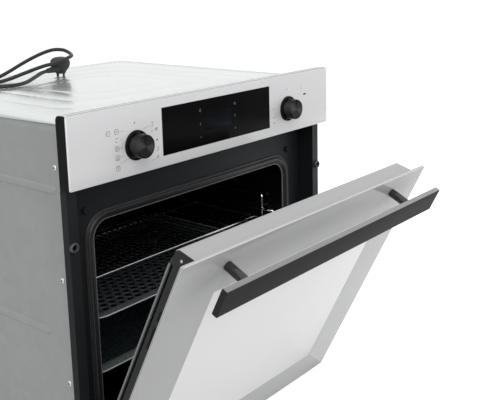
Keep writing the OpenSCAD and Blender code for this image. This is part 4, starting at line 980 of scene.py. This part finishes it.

# %% [markdown]
# ## Knobs and their rings
#
# A knob is turned from a bar: a faint taper, a small chamfer, and a face that is slightly dished.
# The face is cut on a lathe, so light gathers on it in wedges; these wedges, on the side as on the
# face, are painted highlights that lighten the colour and turn with the knob. A black
# notch at the rim is its pointer.

# %% Knobs
for name in ("knob_left", "knob_right"):
    low, high = box_of(name)
    at = np.array([(low[0] + high[0]) / 2, front_y, (low[2] + high[2]) / 2])
    body = [(3, high[1] / MM - front_y / MM), (3, -0.6), (17.0, -0.6), (17.6, -1.2), (17.55, -3),
            (17.1, -17.2), (16.95, -19.0), (16.5, -19.8), (15.9, -20.1), (15.5, -20.05), (15.3, -19.8)]
    # The side's colour is lightened in four soft wedges: a painted highlight for the streaks of light on
    # turned metal.
    side = finish(name + "_side", (0.014, 0.014, 0.0145), 0.34, [
        (spun_rings_and_highlight, 2600.0, (0.095, 0.0955, 0.097), 0.8, 0.0, 0.0),
        (brushed_y, 1300.0, (0.03, 0.03, 0.031), 0.4, 0.1, 0.00001)], centre=at, metal=0.75, specular=0.2)
    make(name + "_body", turned(np.array(body) * MM, at, "y", 96), side, name, (name,), 30)
    t = np.linspace(0, 1, 12)
    face = np.stack([15.4 * (1 - t) + 0.2, -19.85 + 0.35 * (1 - (1 - t) ** 2)], -1)
    # The face's lighter wedges are painted highlights too.
    spun = finish(name + "_face", (0.003, 0.003, 0.0032), 0.32, [
        (spun_rings_and_highlight, 2600.0, (0.044, 0.0445, 0.0455), 0.95, -0.04, 0.00001)],
        centre=at, metal=0.6, specular=0.1)
    disc = np.concatenate([[(15.4, -19.2)], face])
    make(name + "_spun_face", turned(disc * MM, at, "y", 96), spun, name, (), 20)
    notch_low = at + np.array([-1.5, -20.5, 8.4]) * MM
    notch_high = at + np.array([1.5, -19.0, 17.2]) * MM
    notch = block(notch_low, notch_high, 0.5 * MM, 0.2 * MM, "y", 3)
    make(name + "_pointer", notch, black_plastic, name)
    print(name, "at", (at / MM).round(1))

KNOB_X, KNOB_Z = 177 * MM, 536 * MM
left_at = np.array([-KNOB_X, front_y, KNOB_Z])
right_at = np.array([KNOB_X, front_y, KNOB_Z])
ring = [(21.5, 0), (21.5, -2.2), (21.1, -3.3), (20.2, -4), (19.2, -4), (18.5, -3.4), (18.25, -2.4),
        (18.25, 0)]
rings = [turned(np.array(ring) * MM, at, "y", 80, wrap=True) for at in (left_at, right_at)]
make("knob_rings", joined(*rings), black_plastic, "cabinet", ("knob_bezels",), 40)

# %% [markdown]
# ## The door
#
# The door is drawn shut and then swung. Its face is one pane of glass. The middle of the pane is
# left unpainted and looks like a soft mirror, so a thin plate with crisp corners stands for it. A
# grey cap closes the top behind the pane, and dark profiles close the sides.

# %% Door pane, window and cap
pane_low, pane_high = closed_span("outer_glass")
pane = hung(block(pane_low, pane_high, 2.5 * MM, 0.7 * MM, "y"))
make("door_pane", pane, door_glass, "door", ("outer_glass",))
WINDOW_HALF, WINDOW_FOOT, WINDOW_HEAD = 210 * MM, 74 * MM, 416 * MM
window_low = np.array([-WINDOW_HALF, pane_low[1] - 0.1 * MM, WINDOW_FOOT])
window_high = np.array([WINDOW_HALF, pane_low[1] + 1 * MM, WINDOW_HEAD])
window = hung(block(window_low, window_high, 0.5 * MM, 0.05 * MM, "y", 2))
make("door_window", window, mirror_glass, "door")
cap_low, cap_high = closed_span("door_top_cap")
cap_section = filleted(np.array([
    [cap_low[1] + 0.2 * MM, cap_high[2] - 17 * MM], [cap_low[1] + 0.2 * MM, cap_high[2]],
    [cap_high[1], cap_high[2] - 5.2 * MM], [cap_high[1], cap_high[2] - 21 * MM]]),
    np.array([0.1, 0.8, 6, 1.5]) * MM)
cap = make("door_cap", hung(bar(cap_section, cap_low[0] - 4.7 * MM, cap_high[0] + 4.7 * MM, "x")),
           cap_grey, "door", ("door_top_cap",))
bevelled(cap, 0.4 * MM)
for name in ("door_side_left", "door_side_right"):
    low, high = closed_span(name)
    rear = high[1]
    outline = filleted(np.array([[low[1], low[2]], [low[1], high[2] - 0.5 * MM], [rear, high[2] - 5.6 * MM],
                                 [rear, high[2] - 26 * MM], [rear - 4.5 * MM, high[2] - 31 * MM],
                                 [rear - 4.5 * MM, low[2]]]), np.array([1, 1, 9, 2, 2, 3]) * MM)
    profile = make(name.replace("door_side", "door_profile"), hung(bar(outline, low[0], high[0], "x")),
                   profile_grey, "door", (name,))
    bevelled(profile, 0.6 * MM)
inner_low, inner_high = closed_span("inner_glass")
inner_low[0], inner_high[0] = inner_low[0] - 5 * MM, inner_high[0] + 5 * MM
make("door_inner_pane", hung(block(inner_low, inner_high, 5 * MM, 0.8 * MM, "y")), dark_glass,
     "door", ("inner_glass",))
print("door pane", ((pane_high - pane_low) / MM).round(1), "mm")

# %% The handle
bar_low, bar_high = closed_span("handle_bar")
make("handle_grip", hung(block(bar_low, bar_high, 1.4 * MM, 0.8 * MM, "x", 3)), handle_finish,
     "door", ("handle_bar",), 30)
post_low, post_high = closed_span("handle_posts")
# A light grey strip on the grip's top: a painted highlight.
top_low = [bar_low[0] + 0.8 * MM, bar_low[1] + 0.7 * MM, bar_high[2] - 0.5 * MM]
top_high = [bar_high[0] - 0.8 * MM, bar_high[1] - 0.6 * MM, bar_high[2] + 0.03 * MM]
top_highlight = block(top_low, top_high, 0.3 * MM, 0.02 * MM, "z", 2)
make("handle_top_painted_highlight", hung(top_highlight), handle_top_highlight, "door")
POST_X = 205 * MM
post_front, post_rear = bar_high[1] / MM - 0.5, post_high[1] / MM
posts = []
for x in (-POST_X, POST_X):
    at = np.array([x, 0, (post_low[2] + post_high[2]) / 2])
    rod = [(7, post_front), (7, post_rear - 1.4), (6.8, post_rear - 0.6), (6.2, post_rear)]
    posts.append(turned(np.array(rod) * MM, at, "y", 40))
make("handle_stems", hung(joined(*posts)), stem_metal, "door", ("handle_posts",))
print("handle", ((bar_high - bar_low) / MM).round(1), "mm")

# %% [markdown]
# ## Printed symbols
#
# Each symbol is a few strokes, and a stroke is a flat ribbon much thinner than a millimetre that
# follows a short line. They stand in two columns beside the left knob, tell its settings, and are
# tied to it by thin leader lines. The right knob only has dots and dashes, as a scale has.

# %% Ribbons for print
PRINT_RISE = 0.07


def printed(name, strokes, at, width, material):
    """Flat ribbons along lines of (x, z) in millimetres, lying on the front face about a place."""
    half = width / 2 * MM
    strip = np.array([[-half, 0], [half, 0], [half, PRINT_RISE * MM], [-half, PRINT_RISE * MM]])
    shapes = []
    for stroke in strokes:
        stroke = np.asarray(stroke, float) * MM
        path = laid(stroke, 0.0, "y") + np.asarray(at, float)
        shapes.append(swept(path, strip, (0, -1, 0)))
    return make(name, joined(*shapes), material, "cabinet")


def arc(x, z, r, start=0, end=360, steps=12):
    """Part of a circle, in degrees."""
    t = np.radians(np.linspace(start, end, steps + 1))
    return np.stack([x + r * np.cos(t), z + r * np.sin(t)], -1)


def frame_round(x, z, w=6.6, h=6.6):
    """A small frame with round corners."""
    loop = rounded_outline(w, h, 1.0, 2) + [x, z]
    return np.concatenate([loop, loop[:1]])


def wave(x, z, w=3.6, h=0.7):
    """One and a half swings of a sine."""
    t = np.linspace(0, 1, 13)
    return np.stack([x + w * (t - 0.5), z + h * np.sin(3 * math.pi * t)], -1)


x = -35.7
settings = [frame_round(x, 24.8), wave(x, 24.8), [(x - 3, 14.8), (x - 1, 15.6), (x + 1, 15.2), (x + 3, 16.4)],
            arc(x, 13.0, 3.0, 180, 300, 6), frame_round(x, 1.0), arc(x, 1.0, 1.5), frame_round(x, -11.9),
            arc(x, -11.9, 0.9, steps=8), [(x - 2, -14), (x + 2, -14)],
            frame_round(x, -26.8), arc(x, -26.8, 0.8),
            [(x - 2, -24.6), (x + 2, -24.6)],
            arc(-50.1, 25.6, 2.8, 20, 160, 6), arc(-50.1, 23.6, 2.8, 200, 340, 6),
            [(-54.6, 22), (-53.2, 26.6), (-51.4, 23.2)], [(-48, 27), (-46.6, 23)]]
right_side = [[(29, 22), (32.6, 22.6), (32.6, 28.2), (29, 27.6)],
              arc(39, 16.2, 1.5, 0, 300, 8), [(39, 13.6), (39, 19)],
              [(36.8, 16.2), (41.4, 16.2)], [(38, -16), (41.8, -15.4), (42.4, -10), (38.8, -10.4)],
              [(38.6, -12.8), (41.2, -12.6)], arc(40.5, -24.5, 1.9, 30, 330, 8), [(39.8, -26.6), (42, -22)]]
leaders = [[(-31.4, 23.8), (-22.6, 24.6)], [(-31.4, 1.0), (-25, 1.2)], [(-31.4, -12), (-24.6, -11.2)],
           [(-31.8, -20.8), (-17.6, -17.0)], [(14.8, 20.8), (26.4, 23.6)], [(28.4, -28.2), (36.8, -26.4)]]
printed("print_settings", settings + right_side, left_at, 0.62, printed_grey)
printed("print_leaders", leaders, left_at, 0.42, printed_grey)


def dots(places):
    """Full dots: small flat blocks, each as (knob, x, z, width, height)."""
    shapes = []
    for at, x, z, w, h in places:
        low = at + np.array([x - w / 2, -PRINT_RISE, z - h / 2]) * MM
        high = at + np.array([x + w / 2, 0.02, z + h / 2]) * MM
        shapes.append(block(low, high, min(w, h) * 0.45 * MM, 0.01 * MM, "y", 3))
    return joined(*shapes)


dark_marks = dots([
    (left_at, -2.2, 32.3, 1.5, 2.6), (left_at, 30.8, 15.1, 1.7, 1.9), (left_at, 39.8, 0.5, 2.6, 2.8),
    (left_at, 41.3, 18.4, 1.2, 1.2), (left_at, -27.6, 13.2, 1.1, 1.1), (right_at, -2.2, 33.8, 1.5, 2.2),
    (right_at, 50.2, 18.9, 8.0, 2.6), (right_at, 33.1, 21.4, 1.3, 1.3)])
make("print_dots", dark_marks, black_plastic, "cabinet")
scale = [[(39.6, 28.6), (41.4, 32.4)], [(38.8, 30.2), (39.4, 31.8)]]
for z in (4.3, -10.6, -19.5):
    scale += [[(-41.4, z + 0.9), (-38.4, z + 0.9)], [(-41.4, z - 0.9), (-38.4, z - 0.9)],
              [(-37.2, z + 1), (-37.2, z - 1)]]
printed("print_scale", scale, right_at, 0.6, printed_grey)
print("printed", len(settings) + len(right_side) + len(leaders) + len(scale), "strokes")

# %% Display field and touch symbols
shown_at = np.array([0, shown_low[1], 0])
field_low = shown_at + np.array([-35.4, -0.05, 532.4]) * MM
field_high = shown_at + np.array([27.4, 0.3, 559.2]) * MM
make("display_field", block(field_low, field_high, 1 * MM, 0.02 * MM, "y", 3), display_field, "cabinet")
left_x, right_x = -44.8, 36.3
touch = [[(left_x + 1.2, 546.6), (left_x - 1.2, 544.5), (left_x + 1.2, 542.4)],
         [(left_x - 1.9, 524), (left_x + 1.9, 524)],
         [(right_x - 1.9, 525.2), (right_x + 1.9, 525.2)], [(right_x, 523.2), (right_x, 527.2)],
         arc(left_x, 565.0, 1.4, 130, 410, 10),
         [(left_x - 0.9, 566.0), (left_x, 568.0), (left_x + 0.9, 566.0)],
         [(right_x, 542.8), (right_x, 547.4)], [(right_x - 1, 546.2), (right_x, 547.4), (right_x + 1, 546.2)],
         frame_round(right_x, 565.2, 3.6, 3.2), [(right_x - 1, 565.2), (right_x + 1, 565.2)]]
printed("touch_symbols", touch, shown_at, 0.75, printed_light)

# %% [markdown]
# ## Gasket, lip, stops and sockets of the front frame
#
# A rubber gasket runs round the mouth of the oven. Its section is a low round bulb between two
# thin edges, carried along a rounded rectangle. Inside it a narrow light grey lip runs round, for the
# thin bright line at the gasket's inner edge.
# Small turned parts finish the frame: two rubber stops, and four sockets for the screws that hold
# the oven in its cupboard.

# %% Gasket and lip
seal_low, seal_high = box_of("door_gasket")
seal_mid = (seal_low + seal_high) / 2
seal_w, seal_h = seal_high[0] - seal_low[0], seal_high[2] - seal_low[2]
foot = seal_high[1]
seal_path = laid(rounded_outline(seal_w - 16 * MM, seal_h - 16 * MM, 36 * MM, 10), 0.0, "y")
seal_path += [seal_mid[0], foot, seal_mid[2]]
seal_section = np.array([[-8, 0], [-8, 0.9], [-7.3, 1.3], [-5.8, 2.3], [-3.6, 3.9], [-1.6, 5.0], [0.2, 5.35],
                         [2.2, 5.0], [3.7, 3.7], [4.3, 2.2], [5.2, 1.7], [7.3, 2.0], [8, 1.3], [8, 0]]) * MM
make("mouth_gasket", swept(seal_path, seal_section, (0, -1, 0), True), gasket_rubber, "cabinet",
     ("door_gasket",), 30)
lip_path = laid(rounded_outline(seal_w - 33 * MM, seal_h - 33 * MM, 27.5 * MM, 10), 0.0, "y")
lip_path += [seal_mid[0], foot, seal_mid[2]]
lip_section = np.array([[-0.9, -1.4], [0.9, -1.4], [0.9, 0.5], [0.4, 0.9], [-0.4, 0.9], [-0.9, 0.5]]) * MM
make("mouth_lip", swept(lip_path, lip_section, (0, -1, 0), True), lip_paint, "cabinet")

# %% Rubber stops and screw sockets
stop_low, stop_high = box_of("door_buffers")
stop_z = (stop_low[2] + stop_high[2]) / 2
stop = np.array([(5.5, 0), (5.5, -3.4), (5.0, -4.4), (3.9, -5.0), (2.4, -4.8), (1.8, -3.9), (0.4, -3.7)]) * MM
STOP_X = 236 * MM
stops = [turned(stop, [x, foot, stop_z], "y", 28) for x in (-STOP_X, STOP_X)]
make("rubber_stops", joined(*stops), rubber, "cabinet", ("door_buffers",))
socket_low, socket_high = box_of("frame_bushings")
socket = np.array([(7, 4.5), (7, 1.3), (6.5, 0.5), (5.6, 0.1), (4.8, 0.3), (4.3, 1.0), (3.9, 2.6),
                   (3.6, 4.5)]) * MM
# The hole in each socket is lined with a black cup: painted shade for its depth.
well = np.array([(3.9, 7.0), (3.9, 3.4), (2.0, 3.2), (1.6, 4.6), (0.3, 4.8)]) * MM
SOCKET_X, SOCKET_R = 284.5 * MM, 7 * MM
sockets, well_shades = [], []
for x in (-SOCKET_X, SOCKET_X):
    for z in (socket_low[2] + SOCKET_R, socket_high[2] - SOCKET_R):
        sockets.append(turned(socket, [x, socket_low[1], z], "y", 32, wrap=True))
        well_shades.append(turned(well, [x, socket_low[1], z], "y", 24))
make("screw_sockets", joined(*sockets), socket_steel, "cabinet", ("frame_bushings",))
make("socket_well_shades", joined(*well_shades), black_plastic, "cabinet")
print("gasket", (seal_w / MM).round(1), "by", (seal_h / MM).round(1), "mm, with", len(sockets), "sockets")

# %% [markdown]
# ## Side racks and the wire shelf
#
# They are bent from chrome wire. A path of straight runs whose corners are cut by arcs is carried
# by a small circle. Each rail of a side rack is a hairpin: a shelf slides on the lower run and the
# upper run stops it from tipping.

# %% Side racks
upright_x = 224.5
RACK_FRONT, RACK_REAR, RACK_FOOT, RACK_HEAD = 99.5, 399.5, 108, 355
LEVELS, FIRST_LEVEL, LEVEL_STEP, HAIRPIN = 5, 120, 47, 18
RAIL_X, RAIL_FRONT, RAIL_REAR = 220, 84, 430.5
BEND_X, BEND_Y = 226.3, 72.5
for side, name in ((-1, "left"), (1, "right")):
    hoop = [[RACK_FRONT, RACK_FOOT], [RACK_FRONT, RACK_HEAD], [RACK_REAR, RACK_HEAD], [RACK_REAR, RACK_FOOT]]
    path = laid(filleted(hoop, 9, 6, closed=False) * MM, side * upright_x * MM, "x") + [0, front_y, 0]
    shapes = [wire(path, 2.5 * MM, (1, 0, 0), sides=12)]
    for n in range(LEVELS):
        z = FIRST_LEVEL + LEVEL_STEP * n
        upper = z + HAIRPIN
        rail = np.array([[RAIL_X, RAIL_REAR, z], [RAIL_X, RAIL_FRONT, z], [BEND_X, BEND_Y, z + 0.5],
                         [BEND_X, BEND_Y, upper - 0.5], [RAIL_X, RAIL_FRONT, upper],
                         [RAIL_X, RAIL_REAR, upper]])
        path = filleted(rail * [side, 1, 1], np.array([1, 6, 7, 7, 6, 1.0]), 6, closed=False)
        shapes.append(wire(path * MM + [0, front_y, 0], 2.25 * MM, (1, 0, 0), sides=10))
    for y in (RACK_FRONT, RACK_REAR):
        for z in (143.5, 331.5):
            peg = [[side * upright_x, y, z], [side * 228.5, y, z], [side * 231.9, y, z]]
            shapes.append(wire(np.array(peg) * MM + [0, front_y, 0], 2.4 * MM, (0, 0, 1), sides=10))
    make("side_rack_" + name, joined(*shapes), chrome, "cabinet", ("ladder_" + name,), 60)
print("side racks of", len(shapes), "wires each")

# %% Wire shelf
SHELF_WIDTH, SHELF_FRONT, SHELF_REAR = 440, 104, 432
BARS, BAR_INSET = 33, 13.1
bar_r = 2.7
shelf_z = 313.1
frame_w, frame_d = SHELF_WIDTH - 2 * bar_r, SHELF_REAR - SHELF_FRONT - 2 * bar_r
shelf_y = (SHELF_FRONT + SHELF_REAR) / 2
rim = laid(rounded_outline(frame_w, frame_d, 13, 7) * MM, shelf_z * MM, "z") + [0, front_y + shelf_y * MM, 0]
make("wire_shelf_frame", wire(rim, bar_r * MM, (0, 0, 1), True, 14), shelf_chrome, "grid")
shapes = []
for x in np.linspace(BAR_INSET - frame_w / 2, frame_w / 2 - BAR_INSET, BARS):
    run = np.array([
        [x, SHELF_FRONT + bar_r - 0.6, shelf_z - 1.4], [x, SHELF_FRONT + bar_r + 3.2, shelf_z + 0.7],
        [x, SHELF_REAR - bar_r - 3.2, shelf_z + 0.7], [x, SHELF_REAR - bar_r + 0.6, shelf_z - 1.4]])
    path = filleted(run * MM + [0, front_y, 0], 1.6 * MM, 2, closed=False)
    shapes.append(wire(path, 1.15 * MM, (1, 0, 0), sides=8))
cross_bar = np.array([[-frame_w / 2, shelf_y, shelf_z - 2.0], [frame_w / 2, shelf_y, shelf_z - 2.0]]) * MM
shapes.append(wire(cross_bar + [0, front_y, 0], 1.6 * MM, (0, 0, 1), sides=10))
make("wire_shelf", joined(*shapes), dull_wire, "grid", ("wire_grid",), 60)
print("wire shelf of", len(shapes), "wires")

# %% [markdown]
# ## The two trays
#
# A tray is a sheet too: rounded rectangles that shrink from the rolled rim over the flange and down
# the wall to the floor. The perforated tray's floor is a field of cells. Each cell is a rectangle
# with a round hole, every other row is shifted by half a cell, and a plain margin joins the field
# to the wall. Flange and well are separate sheets so that each carries its own copy of the enamel:
# the flange painted lighter and the well darker, as painted light and shade.

# %% Rim and wall of a tray
def tray_rows(rows, low, high):
    """Rounded rectangles by inset, height below the rim's top, and corner radius."""
    middle = (low + high) / 2
    w, d = high[0] - low[0], high[1] - low[1]
    rings = []
    for inset, z, r in rows:
        outline = rounded_outline(w - 2 * inset * MM, d - 2 * inset * MM, r * MM, 9) + middle[:2]
        rings.append(laid(outline, high[2] + z * MM, "z"))
    return np.array(rings)


rolled = [(1.9, -2.9, 34), (0.9, -2.6, 35), (0.25, -1.8, 35.7), (0.05, -0.9, 36), (0.35, -0.25, 35.6),
          (1.1, 0, 35)]
WALL = 1 * MM
deep_low, deep_high = box_of("deep_tray")
deep_band = rolled + [(4, -0.3, 32), (14, -0.9, 24), (24, -2.2, 18), (29, -5.5, 18)]
deep_well = [(29, -5.5, 18), (32, -11, 18), (35, -20.5, 19), (38.5, -30.5, 20), (43, -35.2, 20),
             (50, -36.8, 20)]


def lined(piece, t, underside):
    """A sheet with its wall, whose lower side has a finish of its own."""
    piece.data.materials.append(underside)
    thickened(piece, t).modifiers["wall"].material_offset = 1
    return piece


band = tray_rows(deep_band, deep_low, deep_high)
margin = make("deep_tray_margin", ring_sheet(band), deep_margin_painted_light, "deep", ("deep_tray",), 50,
              closed=False)
lined(margin, WALL, enamel)
grid = tray_rows(deep_well, deep_low, deep_high)
well = make("deep_tray_well", ring_sheet(grid, floor=True), well_painted_shade, "deep", (), 50,
            closed=False)
lined(well, WALL, enamel)
# A light grey rolled rim: a painted highlight.
make("deep_tray_rim", wire(band[3] + [0, 0, 0.3 * MM], 1.2 * MM, (0, 0, 1), True, 8), rim_highlight, "deep")

# %% Perforated tray
PITCH, HOLE, FLOOR = 17.5, 12.0, -11.8
holed_low, holed_high = box_of("perforated_tray")
columns, cell_rows, cell_h = 21, 17, PITCH * math.sqrt(3) / 2
field_w, field_d = columns * PITCH, cell_rows * cell_h
holed_mid = (holed_low + holed_high) / 2


def hole_cells():
    """Twelve points on a hole's circle, twelve on its cell's rim in the same directions, and the
    cell's four corners."""
    t = np.radians(np.arange(0, 360, 30) + 15)
    ray = np.stack([np.cos(t), np.sin(t)], -1)
    rim_scale = np.minimum(PITCH / 2 / np.abs(ray[:, 0]), cell_h / 2 / np.abs(ray[:, 1]))
    points = np.concatenate([ray * HOLE / 2, ray * rim_scale[:, None]])
    corner = np.array([[PITCH, cell_h], [-PITCH, cell_h], [-PITCH, -cell_h], [PITCH, -cell_h]]) / 2
    points = np.concatenate([points, corner])
    faces = [[i, 12 + i, 12 + (i + 1) % 12, (i + 1) % 12] for i in range(12)]
    angle_of = np.degrees(np.arctan2(corner[:, 1], corner[:, 0])) % 360
    for k, a in enumerate(angle_of):
        i = int((a - 15) // 30) % 12
        faces[i] = [i, 12 + i, 24 + k, 12 + (i + 1) % 12, (i + 1) % 12]
    return points, faces


cell_points, cell_faces = hole_cells()
centres, halves = [], []
for row in range(cell_rows):
    y = (row + 0.5) * cell_h - field_d / 2
    shift = row % 2
    x = (np.arange(columns - shift) + 0.5 + 0.5 * shift) * PITCH - field_w / 2
    centres.append(np.stack([x, np.full_like(x, y)], -1))
    if shift:
        halves += [(-field_w / 2, y), (field_w / 2 - PITCH / 2, y)]
centres = np.concatenate(centres)
field = (centres[:, None] + cell_points[None]).reshape(-1, 2)
field_faces = [[i + n * len(cell_points) for i in face] for n in range(len(centres)) for face in cell_faces]
for x, y in halves:
    start = len(field)
    field = np.concatenate([field, [[x, y - cell_h / 2], [x + PITCH / 2, y - cell_h / 2],
                                    [x + PITCH / 2, y + cell_h / 2], [x, y + cell_h / 2]]])
    field_faces.append([start, start + 1, start + 2, start + 3])
field = laid(field * MM + holed_mid[:2], holed_high[2] + FLOOR * MM, "z")
holed_band = rolled + [(4, -0.3, 32), (12, -0.8, 26), (20, -1.8, 20), (25, -4.6, 17)]
holed_rows = [(25, -4.6, 17), (28, -9.0, 16), (32, FLOOR, 15)]
band = tray_rows(holed_band, holed_low, holed_high)
margin = make("perforated_margin", ring_sheet(band), margin_painted_light, "perforated", (), 50,
              closed=False)
lined(margin, WALL, enamel)
grid = tray_rows(holed_rows, holed_low, holed_high)
around = rounded_outline(field_w * MM, field_d * MM, 0.01 * MM, 9) + holed_mid[:2]
grid = np.concatenate([grid, laid(around, holed_high[2] + FLOOR * MM, "z")[None]])
make("perforated_rim", wire(band[3] + [0, 0, 0.3 * MM], 1.1 * MM, (0, 0, 1), True, 8), rim_highlight,
     "perforated")
floor_and_wall = joined(ring_sheet(grid), (field, field_faces))
holed = make("perforated_pan", floor_and_wall, tray_enamel, "perforated",
             ("perforated_tray",), 50, closed=False)
lined(holed, WALL, enamel)
print(len(centres), "holes in the perforated tray,", len(holed.data.polygons), "faces")

# %% [markdown]
# ## Edges and small parts of the door
#
# Polished glass edges catch the light, so thin strips of a brighter finish lie on them as painted
# highlights. The inner pane shows its edge beside the dark side profile, and the profile itself has
# slots, drawn as black blocks of painted shade, and two screws.

# %% Door edges, slots and screws
strip_rear = pane_low[1] + 1.9 * MM
top_low = [pane_low[0] + 2.4 * MM, pane_low[1] + 0.6 * MM, pane_high[2] - 0.6 * MM]
top_high = [pane_high[0] - 2.4 * MM, strip_rear, pane_high[2] + 0.05 * MM]
edge_strips = [block(top_low, top_high, 0.3 * MM, 0.02 * MM, "z", 2)]
for side in (-1, 1):
    x0, x1 = on_side(side, pane_high[0] - 0.6 * MM, pane_high[0] + 0.05 * MM)
    low = [x0, pane_low[1] + 0.6 * MM, pane_low[2] + 2.4 * MM]
    high = [x1, strip_rear, pane_high[2] - 2.4 * MM]
    edge_strips.append(block(low, high, 0.3 * MM, 0.02 * MM, "x", 2))
make("pane_edges", hung(joined(*edge_strips)), pane_edge_highlight, "door")
inner_edges = []
for side in (-1, 1):
    x0, x1 = on_side(side, inner_high[0] - 1.5 * MM, inner_high[0] + 1.6 * MM)
    low = [x0, inner_low[1] + 1.2 * MM, inner_low[2] + 4 * MM]
    high = [x1, inner_high[1] - 0.2 * MM, inner_high[2] - 10 * MM]
    inner_edges.append(block(low, high, 0.3 * MM, 0.05 * MM, "z", 2))
make("inner_pane_edges", hung(joined(*inner_edges)), inner_edge_highlight, "door")
side_x = closed_span("door_side_right")[1][0]
# Black blocks for the vent slots: painted shade for their dark openings.
slots = []
for side in (-1, 1):
    for z0, z1 in ((367, 384), (317, 357), (151, 191), (124, 141)):
        x0, x1 = on_side(side, side_x - 0.6 * MM, side_x + 0.06 * MM)
        low = [x0, front_y + 22.6 * MM, z0 * MM]
        high = [x1, front_y + 28.4 * MM, z1 * MM]
        slots.append(block(low, high, 1.2 * MM, 0.02 * MM, "x", 3))
make("profile_slot_shades", hung(joined(*slots)), black_plastic, "door")
screw_places = [np.array([s * side_x, front_y + 25 * MM, z * MM]) for s in (-1, 1) for z in (470, 36)]
door_heads = pan_screws(screw_places, "x", 2.2, 0.8, [-1, -1, 1, 1])[0]
make("profile_screws", hung(joined(*door_heads)), hinge_zinc, "door")
print("door trimmed with", len(edge_strips) + len(inner_edges), "edges and", len(slots), "slots")

# %% [markdown]
# ## Parts that keep their shape from the frame
#
# Many parts are already the right shape, so they only get a finish. The material goes into the
# part's own slots.

# %% Finishes for the frame's own parts
for finish_used, names in (
        (zinc_side_shade, "base_plate back_panel deck_plate terminal_box"),
        (frame_paint, "front_frame"), (enamel, "cavity fan_cover"), (glass_wool, "insulation"),
        (screw_steel, "handle_screws temperature_probe"),
        (sheath, "grill_element ring_element bottom_element"),
        (motor_sheet, "fan_motor blower_motor blower_housing lamp_housing fan_impeller"),
        (black_plastic, "blower_impeller rotary_switches door_bottom_rail"),
        (clear_glass, "lamp_glass middle_glass"), (board_green, "control_board"),
        (hinge_zinc, "hinge_receivers hinge_arms hinge_pins hinge_channels hinge_springs")):
    for name in names.split():
        mesh = nodes[name].data
        mesh.materials.clear()
        mesh.materials.append(finish_used)
print("frame parts dressed")

# %% [markdown]
# ## Floor and light
#
# The floor and the sky are pale. Rays that come straight from the camera, or by way of a mirror or
# glass, see them nearly white, and a part is lit by them at a plain level. The floor still takes
# the oven's shadow. Large soft lamps stand at the upper left, at the right, low in front and overhead.

# %% Floor and sky
extent = 40.0
SEEN_GLOW, MIRRORED_GLOW = 0.6, 0.16
SKY_LIGHT, SKY_SEEN = 0.55, 0.45
floor_points = np.array([[-1, -1, 0], [1, -1, 0], [1, 1, 0], [-1, 1, 0]]) * extent
floor_mesh = bpy.data.meshes.new("studio_floor")
floor_mesh.from_pydata((floor_points - [0, 0, 0.4 * MM]).tolist(), [], [[0, 1, 2, 3]])
floor = bpy.data.objects.new("studio_floor", floor_mesh)
bpy.context.scene.collection.objects.link(floor)
floor_paper = bpy.data.materials.new("studio_paper")
floor_paper.use_nodes = True
tree = floor_paper.node_tree
paper = tree.nodes["Principled BSDF"]
paper.inputs["Base Color"].default_value = (0.82, 0.82, 0.82, 1)
paper.inputs["Roughness"].default_value = 0.9
paper.inputs["Specular IOR Level"].default_value = 0.0
rays = node(tree, "LightPath")
mirrored = node(tree, "Math", {0: rays.outputs["Is Glossy Ray"], 1: rays.outputs["Is Transmission Ray"]},
                operation="MAXIMUM")
mirrored = node(tree, "Math", {0: mirrored.outputs[0], 1: MIRRORED_GLOW}, operation="MULTIPLY")
glow = node(tree, "Math", {0: rays.outputs["Is Camera Ray"], 1: SEEN_GLOW, 2: mirrored.outputs[0]},
            operation="MULTIPLY_ADD")
paper.inputs["Emission Color"].default_value = (1, 1, 1, 1)
tree.links.new(glow.outputs[0], paper.inputs["Emission Strength"])
floor_mesh.materials.append(floor_paper)

sky = bpy.data.worlds.new("studio_sky")
sky.use_nodes = True
bpy.context.scene.world = sky
tree = sky.node_tree
rays = node(tree, "LightPath")
seen = node(tree, "Math", {0: rays.outputs["Is Camera Ray"], 1: rays.outputs["Is Glossy Ray"]},
            operation="MAXIMUM")
seen = node(tree, "Math", {0: seen.outputs[0], 1: rays.outputs["Is Transmission Ray"]}, operation="MAXIMUM")
strength = node(tree, "Math", {0: seen.outputs[0], 1: SKY_SEEN, 2: SKY_LIGHT}, operation="MULTIPLY_ADD")
tree.nodes["Background"].inputs[0].default_value = (1, 1, 1, 1)
tree.links.new(strength.outputs[0], tree.nodes["Background"].inputs[1])


# %% Lamps
def softbox(name, place, aim, size, power):
    """A square lamp that looks from its place to its aim."""
    lamp = bpy.data.lights.new(name, "AREA")
    lamp.size = size
    lamp.energy = power
    way = np.array(aim, float) - place
    way /= np.linalg.norm(way)
    across = np.cross(way, (0, 0, 1))
    across /= np.linalg.norm(across)
    turn = np.eye(4)
    turn[:3, 0], turn[:3, 1], turn[:3, 2], turn[:3, 3] = across, np.cross(across, way), -way, place
    stand = bpy.data.objects.new(name, lamp)
    bpy.context.scene.collection.objects.link(stand)
    stand.matrix_world = turn.T.tolist()
    return stand


softbox("key", (-1.3, -2.2, 2.4), (0, -0.1, 0.35), 2.2, 35)
softbox("fill_right", (2.4, -1.6, 1.4), (0, 0, 0.3), 1.6, 28).visible_glossy = False
softbox("front_low", (0.5, -2.5, 0.25), (0, 0, 0.3), 1.6, 6).visible_glossy = False
softbox("overhead", (0.2, 0.4, 2.6), (0, 0, 0.4), 1.6, 16).visible_glossy = False
print("sky and", len(bpy.data.lights), "lamps")
